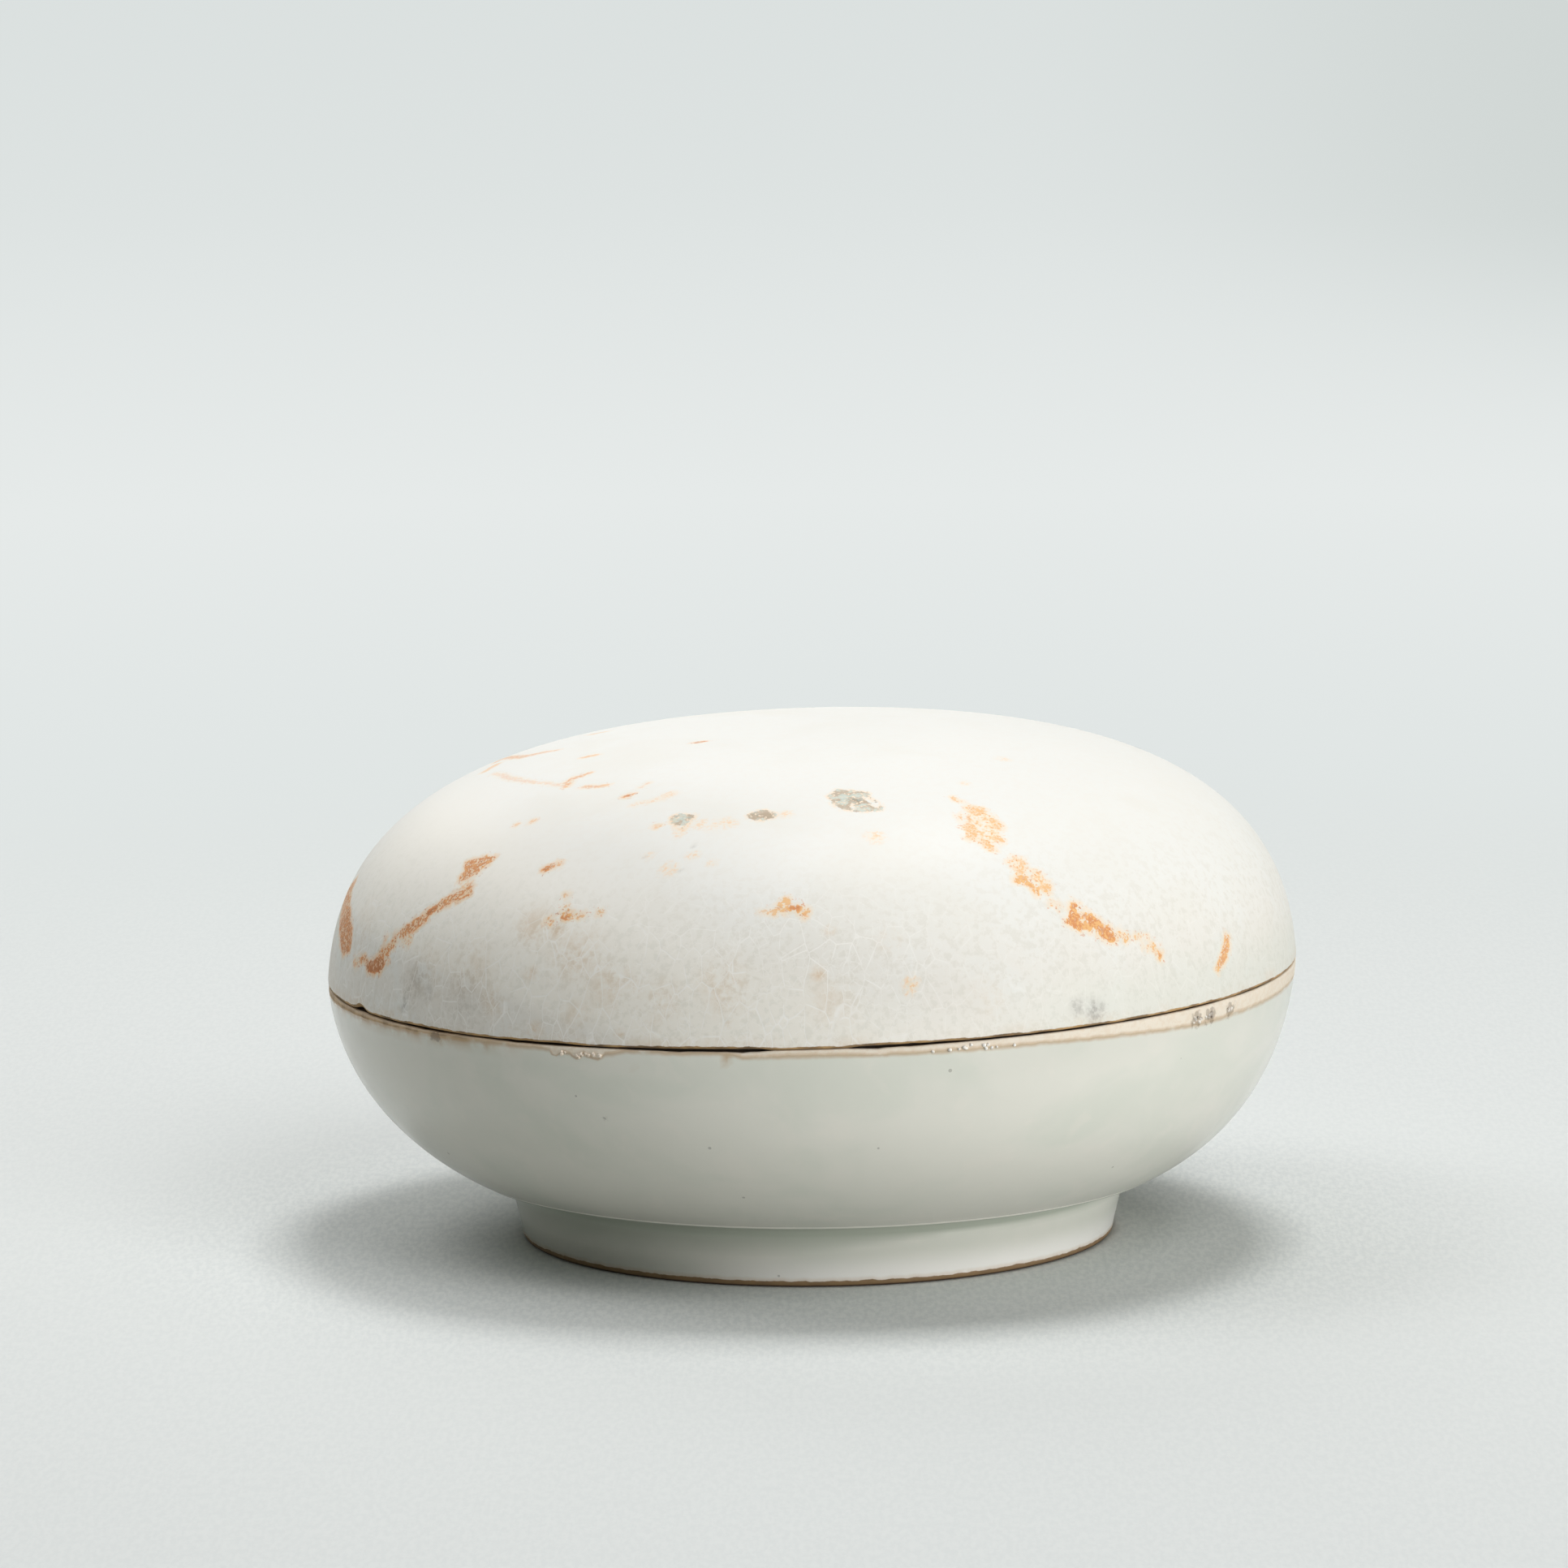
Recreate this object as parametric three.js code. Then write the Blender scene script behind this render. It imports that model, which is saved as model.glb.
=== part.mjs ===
import * as THREE from 'three';

// Porcelain covered box: a footed round base and a domed lid that lifts off.
// Millimetres, +Z up. The foot ring stands on Z = 0 and the axis of the bowl is X = Y = 0.

// Whole box
const RIM_RADIUS = 60; // widest radius, the same for base and lid
const SEAM_HEIGHT = 33.1; // middle of the gap between base and lid, on the axis
const LID_RISE = 29.8; // from the seam to the crown of the lid
const SEAT_GAP = 0.3; // open line between the two unglazed rims
const KILN_LEAN = 1.1; // degrees; the rim and the lid slope up towards +X
const EDGE_ROUND = 0.6; // softened edge of both rims and of the foot's flat

// Foot ring
const FOOT_RADIUS = 36.1; // outer edge of the flat that stands on the table
const FOOT_WIDTH = 4.8; // width of that flat
const FOOT_SWELL = 0.6; // the foot wall stands out this far beyond its flat
const FOOT_ROUND = 1.0; // height of the rounding from the flat to the wall
const FOOT_FLARE = 1.2; // the wall widens this much from the rounding to its top
const FOOT_RECESS = 3.6; // depth of the hollow inside the ring
const RECESS_TAPER = 0.6; // the hollow narrows by this much at its top
const RECESS_ROUND = 1.6; // rounding between the hollow's wall and its ceiling
const FOOT_OFFSET = 0.4; // the foot was turned this far off centre, towards +X
const TURNED_STEP = 5.7; // ledge left by the turning tool between foot and bowl
const STEP_DROP = 0.6; // the ledge falls this much towards the foot
const STEP_EDGE = 0.5; // width of the blunted edge of the ledge
const COVE = 2.0; // radius of the hollow where the ledge meets the foot

// Bowl
const BOWL_SINK = 2.7; // height of the bowl's own curve on the axis, inside the foot
const BOWL_SWELL = 3.9; // the bowl's widest ring would lie this far above the seam
const BOWL_ROUND = 3.42; // exponent along the radius; 2 is an ellipse, more is squarer
const BOWL_DEEP = 2.155; // exponent along the height
const FLOOR_WALL = 5.9; // thickness of the floor above the hollow of the foot
const INNER_ROUND = 3.2;
const INNER_DEEP = 2.3;

// Rim of the base
const LEDGE_WIDTH = 3.3; // unglazed ledge that carries the lid
const FLANGE_WIDTH = 2.2; // upstanding collar inside the ledge
const FLANGE_HEIGHT = 4.2; // collar above the seam
const FLANGE_TAPER = 0.6; // the collar's outside leans in by this much

// Lid
const COLLAR_CLEARANCE = 0.5; // between the collar and the inside of the lid
const LID_SWELL = 5.8; // the lid's widest ring would lie this far below the seam
const LID_ROUND = 2.846;
const LID_DEEP = 2.77;
const CROWN_WALL = 4.2; // thickness of the lid at its crown
const LID_INNER_ROUND = 2.9;
const LID_INNER_DEEP = 2.5;

// Fineness of the surfaces: facets round the axis, and steps along each kind of curve
const SEGMENTS = 60;
const CORNER_STEPS = 2;
const EDGE_STEPS = 3;
const FOOT_STEPS = 4;
const BOWL_STEPS = 12;
const HOLLOW_STEPS = 10;
const LID_STEPS = 18;
const ON_AXIS = 1e-6; // a radius below this is a point on the axis

// Glaze
const BASE_COLOUR = 0xd6d8d0;
const LID_COLOUR = 0xeceae3;
const GLAZE_ROUGHNESS = 0.2;

// Levels and radii that follow from the sizes above
const ledgeHeight = SEAM_HEIGHT - SEAT_GAP / 2;
const lidRimHeight = SEAM_HEIGHT + SEAT_GAP / 2;
const bowlCentre = SEAM_HEIGHT + BOWL_SWELL;
const bowlDepth = bowlCentre - BOWL_SINK;
const lidCentre = SEAM_HEIGHT - LID_SWELL;
const lidHeight = LID_RISE + LID_SWELL;
const footWall = FOOT_RADIUS + FOOT_SWELL;
const footTop = footWall + FOOT_FLARE;
const stepRadius = footTop + TURNED_STEP;
const floorHeight = FOOT_RECESS + FLOOR_WALL;

// A quarter of the curve (r/radius)^round + (z/height)^deep = 1, which potters' domes follow.
class Dome {
  constructor(radius, height, round, deep) {
    this.radius = radius;
    this.height = height;
    this.round = round;
    this.deep = deep;
  }

  // Point at turn t: 0 at the widest ring, a quarter turn on the axis.
  at(t) {
    const r = this.radius * Math.max(Math.cos(t), 0) ** (2 / this.round);
    const z = this.height * Math.max(Math.sin(t), 0) ** (2 / this.deep);
    return [r, z];
  }

  turnAtRadius(r) {
    return Math.acos(Math.min(1, r / this.radius) ** (this.round / 2));
  }

  turnAtHeight(z) {
    return Math.asin(Math.min(1, z / this.height) ** (this.deep / 2));
  }

  // Points from turn a to turn b, placed on a level, upwards or downwards from it.
  run(a, b, steps, level, way) {
    const points = [];
    for (let i = 0; i <= steps; i += 1) {
      const [r, z] = this.at(a + ((b - a) * i) / steps);
      points.push(new THREE.Vector2(r < ON_AXIS ? 0 : r, level + way * z));
    }
    return points;
  }
}

// Points of a quarter-round bend from one place to another about their corner.
function bend(from, corner, to, steps) {
  const a = new THREE.Vector2(...from);
  const b = new THREE.Vector2(...corner);
  const c = new THREE.Vector2(...to);
  return new THREE.QuadraticBezierCurve(a, b, c).getPoints(steps);
}

function point(r, z) {
  return new THREE.Vector2(r, z);
}

function baseProfile() {
  const bowl = new Dome(RIM_RADIUS, bowlDepth, BOWL_ROUND, BOWL_DEEP);
  const stepTurn = bowl.turnAtRadius(stepRadius);
  const stepHeight = bowlCentre - bowl.at(stepTurn)[1];
  const ledgeFoot = stepHeight - STEP_DROP;
  const edgeTurn = bowl.turnAtHeight(BOWL_SWELL + SEAT_GAP / 2 + EDGE_ROUND);
  const edge = bowl.at(edgeTurn)[0];

  const footInner = FOOT_RADIUS - FOOT_WIDTH;
  const recessEdge = footInner - RECESS_TAPER;
  const flangeOuter = RIM_RADIUS - LEDGE_WIDTH;
  const flangeInner = flangeOuter - FLANGE_WIDTH;
  const lipOuter = flangeOuter - FLANGE_TAPER;
  const lipHeight = SEAM_HEIGHT + FLANGE_HEIGHT;
  const lipMiddle = (lipOuter + flangeInner) / 2;
  const lipRound = (lipOuter - flangeInner) / 2;

  const well = new Dome(flangeInner, SEAM_HEIGHT - floorHeight, INNER_ROUND, INNER_DEEP);

  const recess = bend(
    [recessEdge - RECESS_ROUND, FOOT_RECESS],
    [recessEdge, FOOT_RECESS],
    [recessEdge, FOOT_RECESS - RECESS_ROUND],
    CORNER_STEPS,
  );
  const footFlat = bend([footInner, EDGE_ROUND], [footInner, 0], [footInner + EDGE_ROUND, 0], CORNER_STEPS);
  const footSide = bend([FOOT_RADIUS, 0], [footWall, 0], [footWall, FOOT_ROUND], FOOT_STEPS);
  const cove = bend(
    [footTop, ledgeFoot - COVE],
    [footTop, ledgeFoot],
    [footTop + COVE, ledgeFoot],
    EDGE_STEPS,
  );
  const rim = bend(
    [edge, ledgeHeight - EDGE_ROUND],
    [edge, ledgeHeight],
    [edge - EDGE_ROUND, ledgeHeight],
    EDGE_STEPS,
  );
  const lipOutside = bend(
    [lipOuter, lipHeight - lipRound],
    [lipOuter, lipHeight],
    [lipMiddle, lipHeight],
    CORNER_STEPS,
  );
  const lipInside = bend(
    [lipMiddle, lipHeight],
    [flangeInner, lipHeight],
    [flangeInner, lipHeight - lipRound],
    CORNER_STEPS,
  );

  return [
    point(0, FOOT_RECESS),
    ...recess,
    ...footFlat,
    ...footSide,
    ...cove,
    point(stepRadius - STEP_EDGE, stepHeight - STEP_EDGE / 2),
    ...bowl.run(stepTurn, edgeTurn, BOWL_STEPS, bowlCentre, -1),
    ...rim.slice(1),
    point(flangeOuter, ledgeHeight),
    ...lipOutside,
    ...lipInside.slice(1),
    ...well.run(0, Math.PI / 2, HOLLOW_STEPS, SEAM_HEIGHT, -1),
  ];
}

function lidProfile() {
  const dome = new Dome(RIM_RADIUS, lidHeight, LID_ROUND, LID_DEEP);
  const edgeTurn = dome.turnAtHeight(LID_SWELL + SEAT_GAP / 2 + EDGE_ROUND);
  const edge = dome.at(edgeTurn)[0];
  const innerRadius = RIM_RADIUS - LEDGE_WIDTH + COLLAR_CLEARANCE;
  const innerHeight = LID_RISE - SEAT_GAP / 2 - CROWN_WALL;
  const hollow = new Dome(innerRadius, innerHeight, LID_INNER_ROUND, LID_INNER_DEEP);
  const soft = EDGE_ROUND / 2;
  const softTurn = hollow.turnAtHeight(soft);
  const inner = hollow.at(softTurn)[0];

  const rim = bend(
    [edge - EDGE_ROUND, lidRimHeight],
    [edge, lidRimHeight],
    [edge, lidRimHeight + EDGE_ROUND],
    EDGE_STEPS,
  );

  return [
    ...hollow.run(Math.PI / 2, softTurn, HOLLOW_STEPS, lidRimHeight, 1),
    point(inner + soft, lidRimHeight),
    ...rim.slice(0, -1),
    ...dome.run(edgeTurn, Math.PI / 2, LID_STEPS, lidCentre, 1),
  ];
}

// How far a level takes part in the lean of the kiln: nothing at the foot, all of it at the rim.
function settled(z) {
  return THREE.MathUtils.smoothstep(z, floorHeight, ledgeHeight - EDGE_ROUND);
}

// Turns a profile round the axis, then lets it lean and shift as the fired box did.
function thrown(profile) {
  const geometry = new THREE.LatheGeometry(profile, SEGMENTS);
  geometry.rotateX(Math.PI / 2);
  const slope = Math.tan(THREE.MathUtils.degToRad(KILN_LEAN));
  const position = geometry.attributes.position;
  for (let i = 0; i < position.count; i += 1) {
    const x = position.getX(i);
    const z = position.getZ(i);
    const share = settled(z);
    position.setX(i, x + FOOT_OFFSET * (1 - share));
    position.setZ(i, z + x * slope * share);
  }
  geometry.computeVertexNormals();
  return geometry;
}

function glaze(color) {
  return new THREE.MeshStandardMaterial({ color, metalness: 0, roughness: GLAZE_ROUGHNESS });
}

function piece(name, profile, color) {
  const mesh = new THREE.Mesh(thrown(profile), glaze(color));
  mesh.name = name;
  return mesh;
}

const box = new THREE.Group();
box.name = 'porcelain_covered_box';
box.add(piece('base', baseProfile(), BASE_COLOUR));
box.add(piece('lid', lidProfile(), LID_COLOUR));

export default box;
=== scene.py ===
"""Porcelain covered box: a leaning wheel-thrown base and lid with worn enamel, on a pale sweep."""

import math

import bpy
import numpy as np
from mathutils import Matrix, Vector


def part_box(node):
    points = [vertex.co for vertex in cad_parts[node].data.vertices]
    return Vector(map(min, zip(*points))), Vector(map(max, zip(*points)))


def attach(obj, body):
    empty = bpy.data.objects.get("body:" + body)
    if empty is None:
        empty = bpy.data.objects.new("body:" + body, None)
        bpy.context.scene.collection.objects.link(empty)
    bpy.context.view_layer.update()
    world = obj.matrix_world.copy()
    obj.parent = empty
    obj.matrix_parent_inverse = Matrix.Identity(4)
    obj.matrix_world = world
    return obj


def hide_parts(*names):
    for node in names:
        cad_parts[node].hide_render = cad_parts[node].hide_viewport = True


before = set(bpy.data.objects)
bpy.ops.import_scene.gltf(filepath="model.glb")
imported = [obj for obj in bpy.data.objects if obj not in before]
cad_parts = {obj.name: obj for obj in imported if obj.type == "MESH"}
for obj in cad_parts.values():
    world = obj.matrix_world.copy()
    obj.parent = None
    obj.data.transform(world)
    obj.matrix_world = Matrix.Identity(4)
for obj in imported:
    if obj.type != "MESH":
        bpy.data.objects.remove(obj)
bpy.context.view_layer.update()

bl_info = {
    "name": "Porcelain Covered Box",
    "version": (1, 0, 0),
    "blender": (4, 5, 0),
    "location": "View3D > Sidebar > Covered Box",
    "description": "Turns, glazes and lights a leaning porcelain box with a domed lid",
    "category": "Add Mesh",
}

MM = 0.001
FIT_SLACK = 0.2 * MM  # a dressed piece may stand this far outside its CAD node
RIM_PULL = 3.0  # how crisp the turned edges of the rims are; 1 is a plain round
DOME_POINTS = 600  # points on a dome's curve before it is cut into even steps
BEND_POINTS = 60  # the same on a bend
PAINTED_CLIMB = 47 * MM  # the lid's section is finer up to here, where most of the painting is
STEP_RIDGE = 0.16 * MM  # height of the thin ridge along the turned step
NICK_REACH = 0.7 * MM  # how far beyond a rim its wear runs out
CLOSED_REACH = 1.5 * MM  # the same where the seam is nearly closed
CLOSED_SHIFT = 0.12 * MM  # how far a rim stands nearer to its partner there
GRAIN_SIZE = 0.28 * MM  # radius of the largest grains of grit
FOOT_GRAINS = 60  # grains inside the foot ring
SWEEP_SIDES = 96  # facets round the sweep
SWEEP_LENGTH = 2.4  # metres along the sweep over which its colours change
SAME_PLACE = 1e-7  # points of a section nearer than this are one
SAME_POINT = 1e-6  # the same for the points of a turned sheet
NO_LENGTH = 1e-12  # keeps the square of a length from being nothing


def paint(red, green, blue):
    """A colour given 0 to 255 a channel, in Blender's linear light."""

    def linear(level):
        level /= 255
        return level / 12.92 if level <= 0.04045 else ((level + 0.055) / 1.055) ** 2.4

    return (linear(red), linear(green), linear(blue), 1.0)


def length(text, millimetres):
    return bpy.props.FloatProperty(
        description=text, default=millimetres * MM, unit="LENGTH", precision=5
    )


def number(text, value):
    return bpy.props.FloatProperty(description=text, default=value, precision=4)


def angle(text, degrees):
    return bpy.props.FloatProperty(
        description=text, default=math.radians(degrees), subtype="ANGLE", unit="ROTATION"
    )


def count(text, value):
    return bpy.props.IntProperty(description=text, default=value, min=3)


def colour(text, *levels):
    return bpy.props.FloatVectorProperty(
        description=text, default=paint(*levels), size=4, subtype="COLOR", min=0.0, max=1.0
    )


class BoxShape(bpy.types.PropertyGroup):
    """Sizes of the turned box"""

    rim_radius: length("Widest radius of base and lid", 60.0)
    seam_height: length("Middle of the gap between base and lid, on the axis", 33.1)
    lid_rise: length("From the seam to the crown of the lid", 29.8)
    seat_gap: length("Open line between the two unglazed rims", 0.3)
    kiln_lean: angle("Slope of the rim and the lid, up towards +X", 1.1)
    edge_round: length("Softened edge of the rims and of the foot's flat", 0.6)
    foot_radius: length("Outer edge of the flat that stands on the table", 36.1)
    foot_width: length("Width of the flat that stands on the table", 4.8)
    foot_swell: length("How far the foot wall stands out beyond its flat", 0.6)
    foot_round: length("Height of the rounding from the flat to the wall", 1.0)
    foot_flare: length("How much the foot wall widens towards its top", 1.2)
    foot_recess: length("Depth of the hollow inside the foot ring", 3.6)
    recess_taper: length("How much the hollow narrows at its top", 0.6)
    recess_round: length("Rounding between the hollow's wall and its ceiling", 1.6)
    foot_offset: length("How far the foot was turned off centre, towards +X", 0.4)
    turned_step: length("Ledge left by the turning tool between foot and bowl", 5.7)
    step_drop: length("How much that ledge falls towards the foot", 0.6)
    step_edge: length("Width of the blunted edge of that ledge", 0.5)
    cove: length("Radius of the hollow where the ledge meets the foot", 2.0)
    bowl_sink: length("Height of the bowl's own curve on the axis", 2.7)
    bowl_swell: length("Height of the bowl's widest ring above the seam", 3.9)
    bowl_round: number("Exponent of the bowl along the radius", 3.42)
    bowl_deep: number("Exponent of the bowl along the height", 2.155)
    floor_wall: length("Thickness of the floor above the hollow of the foot", 5.9)
    well_round: number("Exponent of the base's inside along the radius", 3.2)
    well_deep: number("Exponent of the base's inside along the height", 2.3)
    ledge_width: length("Unglazed ledge that carries the lid", 3.3)
    flange_width: length("Thickness of the upstanding collar", 2.2)
    flange_height: length("Height of the collar above the seam", 4.2)
    flange_taper: length("How far the collar's outside leans in", 0.6)
    collar_clearance: length("Between the collar and the inside of the lid", 0.5)
    lid_swell: length("Depth of the lid's widest ring below the seam", 5.8)
    lid_round: number("Exponent of the lid along the radius", 2.846)
    lid_deep: number("Exponent of the lid along the height", 2.77)
    crown_wall: length("Thickness of the lid at its crown", 4.2)
    hollow_round: number("Exponent of the lid's inside along the radius", 2.9)
    hollow_deep: number("Exponent of the lid's inside along the height", 2.5)
    base_segments: count("Facets round the base", 400)
    lid_segments: count("Facets round the lid", 600)
    ring_depth: length("Depth of the faint rings of the potter's fingers", 0.05)
    ring_pitch: length("Spacing of those rings", 3.2)
    warp: length("How far the wall wanders from a true circle, always inwards", 0.06)


class GlazeColours(bpy.types.PropertyGroup):
    """Colours of glaze, clay and enamel"""

    lid_white: colour("Clean glaze of the lid", 237, 236, 230)
    lid_cloud: colour("Duller clouds in the lid's glaze", 235, 233, 225)
    lid_low: colour("Stained glaze near the lid's edge", 236, 230, 220)
    base_white: colour("Clean glaze of the base", 232, 231, 221)
    base_cloud: colour("Greener clouds in the base's glaze", 224, 226, 215)
    # Also laid as painted shade: on the top of the foot below the step and on the base's right just
    # below the rim.
    pooled: colour("Glaze that ran together in a corner", 178, 184, 170)
    thin: colour("Glaze worn thin over an edge", 238, 234, 224)
    clay: colour("Unglazed porcelain", 240, 229, 212)
    flash: colour("Brown line where glaze and clay meet", 190, 154, 106)
    burnt: colour("Clay that lay on the kiln shelf", 116, 94, 68)
    # Also laid as painted shade: along the foot's lowest edge and, with dirt, on the ledge inside
    # the seam.
    soot: colour("Iron specks, dirt in pits and soot", 66, 49, 35)
    # Painted light: this white lightens the lid's lower left front and the bright ridge above the
    # foot.
    clean: colour("Whiter glaze that took no stain", 250, 246, 236)
    # The same pale white is also laid as painted light on the lower right of the foot.
    crackle: colour("Pale lines of the crackled glaze", 255, 253, 248)
    red: colour("Enamel that is still thick", 223, 150, 94)
    orange: colour("Worn enamel and the edges of flakes", 240, 189, 126)
    umber: colour("Enamel that lies thickest", 188, 116, 66)
    ghost: colour("Pale trace where enamel came off", 247, 220, 184)
    leaf: colour("Blue-green enamel of the leaves", 199, 207, 195)
    leaf_dark: colour("Dark mottling in the leaves", 138, 142, 126)
    leaf_line: colour("Brown outline of the leaves", 192, 166, 138)
    tan: colour("Stain soaked into the glaze", 226, 202, 172)
    smudge: colour("Greyish rubbed dirt", 150, 145, 137)


class StageSettings(bpy.types.PropertyGroup):
    """Floor, backdrop, lights and camera"""

    floor: colour("Pale cloth that the box stands on", 225, 228, 226)
    floor_thread: colour("Shaded side of the cloth's threads", 213, 217, 216)
    floor_bounce: colour("Colour of the light that the cloth throws back", 182, 184, 180)
    lens: number("Focal length in millimetres on a 36 mm sensor", 194.45)
    camera_place: bpy.props.FloatVectorProperty(
        description="Where the camera stands",
        default=(-3.22 * MM, -1033.0 * MM, 206.6 * MM),
        subtype="TRANSLATION",
        unit="LENGTH",
    )
    camera_pitch: angle("How far the camera looks down", 8.309)
    camera_roll: angle("How far the camera is turned about its own axis", 0.612)
    overhead: number("Power of the soft light above", 4.6)
    left: number("Power of the soft light above on the left", 2.35)
    behind: number("Power of the soft light behind", 2.75)
    right_low: number("Power of the low soft light on the right", 5.9)
    front_right: number("Power of the soft light above the camera, right", 4.8)
    high_left: number("Power of the small soft light above, left", 0.6)
    sky: number("Strength of the light from all round", 0.08)


# Section curves


class Dome:
    """A quarter of the curve (r/radius)^round + (z/height)^deep = 1, as potters' domes have it."""

    def __init__(self, radius, height, roundness, deepness):
        self.radius = radius
        self.height = height
        self.roundness = roundness
        self.deepness = deepness

    def at(self, turn):
        r = self.radius * np.maximum(np.cos(turn), 0) ** (2 / self.roundness)
        z = self.height * np.maximum(np.sin(turn), 0) ** (2 / self.deepness)
        return r, z

    def turn_at_radius(self, r):
        return math.acos(min(1, r / self.radius) ** (self.roundness / 2))

    def turn_at_height(self, z):
        return math.asin(min(1, z / self.height) ** (self.deepness / 2))

    def run(self, start, end, level, way):
        """Points from one turn to another, upwards or downwards from a level."""
        r, z = self.at(np.linspace(start, end, DOME_POINTS))
        return np.column_stack([r, level + way * z])


def bend(start, corner, end, pull=1.0):
    """A bend from one place to another about their corner; a stronger pull makes it crisper."""
    t = np.linspace(0, 1, BEND_POINTS)[:, None]
    shares = (1 - t) ** 2, 2 * pull * t * (1 - t), t**2
    path = sum(share * np.array(place) for share, place in zip(shares, (start, corner, end)))
    return path / sum(shares)


def eased(t):
    """A smooth way from 0 to 1."""
    return t * t * (3 - 2 * t)


def walked(points):
    """Distance walked along a row of points."""
    return np.concatenate([[0.0], np.cumsum(np.linalg.norm(np.diff(points, axis=0), axis=1))])


class Section:
    """Half section of a turned piece, from radius and height, with the distance walked along it."""

    def __init__(self):
        self.points = np.empty((0, 2))
        self.marks = {}

    def add(self, points, step, mark=None, fine_until=None, fine_step=None):
        """Adds points about a step apart, and finer ones up to a distance where that is asked."""
        points = np.asarray(points, dtype=float)
        far = walked(points)
        if fine_until is None:
            places = np.linspace(0, far[-1], max(2, round(far[-1] / step) + 1))
        else:
            near = np.linspace(0, fine_until, round(fine_until / fine_step) + 1)
            rest = np.linspace(fine_until, far[-1], round((far[-1] - fine_until) / step) + 1)
            places = np.concatenate([near, rest[1:]])
        run = np.column_stack([np.interp(places, far, points[:, i]) for i in range(2)])
        if len(self.points) and np.linalg.norm(self.points[-1] - run[0]) < SAME_PLACE:
            run = run[1:]
        if mark:
            self.marks[mark] = len(self.points)
        self.points = np.concatenate([self.points, run])

    def along(self):
        return walked(self.points)

    def mark_at(self, mark):
        return self.along()[self.marks[mark]]


def base_section(s):
    """Section of the base, from under the foot, up the outside, over the rim and into the well."""
    ledge_height = s.seam_height - s.seat_gap / 2
    bowl_centre = s.seam_height + s.bowl_swell
    bowl = Dome(s.rim_radius, bowl_centre - s.bowl_sink, s.bowl_round, s.bowl_deep)
    foot_wall = s.foot_radius + s.foot_swell
    foot_top = foot_wall + s.foot_flare
    step_radius = foot_top + s.turned_step
    step_turn = bowl.turn_at_radius(step_radius)
    step_height = bowl_centre - bowl.at(step_turn)[1]
    ledge_foot = step_height - s.step_drop
    edge_turn = bowl.turn_at_height(s.bowl_swell + s.seat_gap / 2 + s.edge_round)
    edge = float(bowl.at(edge_turn)[0])
    foot_inner = s.foot_radius - s.foot_width
    recess_edge = foot_inner - s.recess_taper
    flange_outer = s.rim_radius - s.ledge_width
    flange_inner = flange_outer - s.flange_width
    lip_outer = flange_outer - s.flange_taper
    lip_height = s.seam_height + s.flange_height
    lip_middle = (lip_outer + flange_inner) / 2
    lip_round = (lip_outer - flange_inner) / 2
    floor_height = s.foot_recess + s.floor_wall
    well = Dome(flange_inner, s.seam_height - floor_height, s.well_round, s.well_deep)
    recess_start = (recess_edge - s.recess_round, s.foot_recess)
    recess_end = (recess_edge, s.foot_recess - s.recess_round)
    step_start = (step_radius - s.step_edge, step_height - s.step_edge / 2)

    section = Section()
    section.add([(0, s.foot_recess), recess_start], 3 * MM)
    section.add(bend(recess_start, (recess_edge, s.foot_recess), recess_end), 0.5 * MM)
    section.add([recess_end, (foot_inner, s.edge_round)], 0.6 * MM)
    flat_start = (foot_inner + s.edge_round, 0)
    flat_edge = bend((foot_inner, s.edge_round), (foot_inner, 0), flat_start)
    section.add(flat_edge, 0.25 * MM, "foot_flat")
    section.add([flat_start, (s.foot_radius, 0)], 0.8 * MM)
    foot_side = (foot_wall, s.foot_round)
    section.add(bend((s.foot_radius, 0), (foot_wall, 0), foot_side), 0.3 * MM, "foot_side")
    cove_start = (foot_top, ledge_foot - s.cove)
    cove_end = (foot_top + s.cove, ledge_foot)
    section.add([foot_side, cove_start], 0.6 * MM)
    section.add(bend(cove_start, (foot_top, ledge_foot), cove_end), 0.2 * MM, "cove")
    section.add([cove_end, step_start], 0.5 * MM)
    wall = bowl.run(step_turn, edge_turn, bowl_centre, -1)
    section.add([step_start, tuple(wall[0])], 0.15 * MM, "step")
    section.add(wall, 0.75 * MM, fine_until=1.2 * MM, fine_step=0.15 * MM)
    rim_end = (edge - s.edge_round, ledge_height)
    rim_start = (edge, ledge_height - s.edge_round)
    section.add(bend(rim_start, (edge, ledge_height), rim_end, RIM_PULL), 0.12 * MM, "rim")
    section.add([rim_end, (flange_outer, ledge_height)], 0.6 * MM)
    lip_start = (lip_outer, lip_height - lip_round)
    lip_top = (lip_middle, lip_height)
    lip_end = (flange_inner, lip_height - lip_round)
    section.add([(flange_outer, ledge_height), lip_start], 0.6 * MM)
    section.add(bend(lip_start, (lip_outer, lip_height), lip_top), 0.25 * MM, "lip")
    section.add(bend(lip_top, (flange_inner, lip_height), lip_end), 0.25 * MM)
    section.add([lip_end, (flange_inner, s.seam_height)], 0.9 * MM, "inside")
    section.add(well.run(0, math.pi / 2, s.seam_height, -1), 1.5 * MM)
    return section


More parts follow.
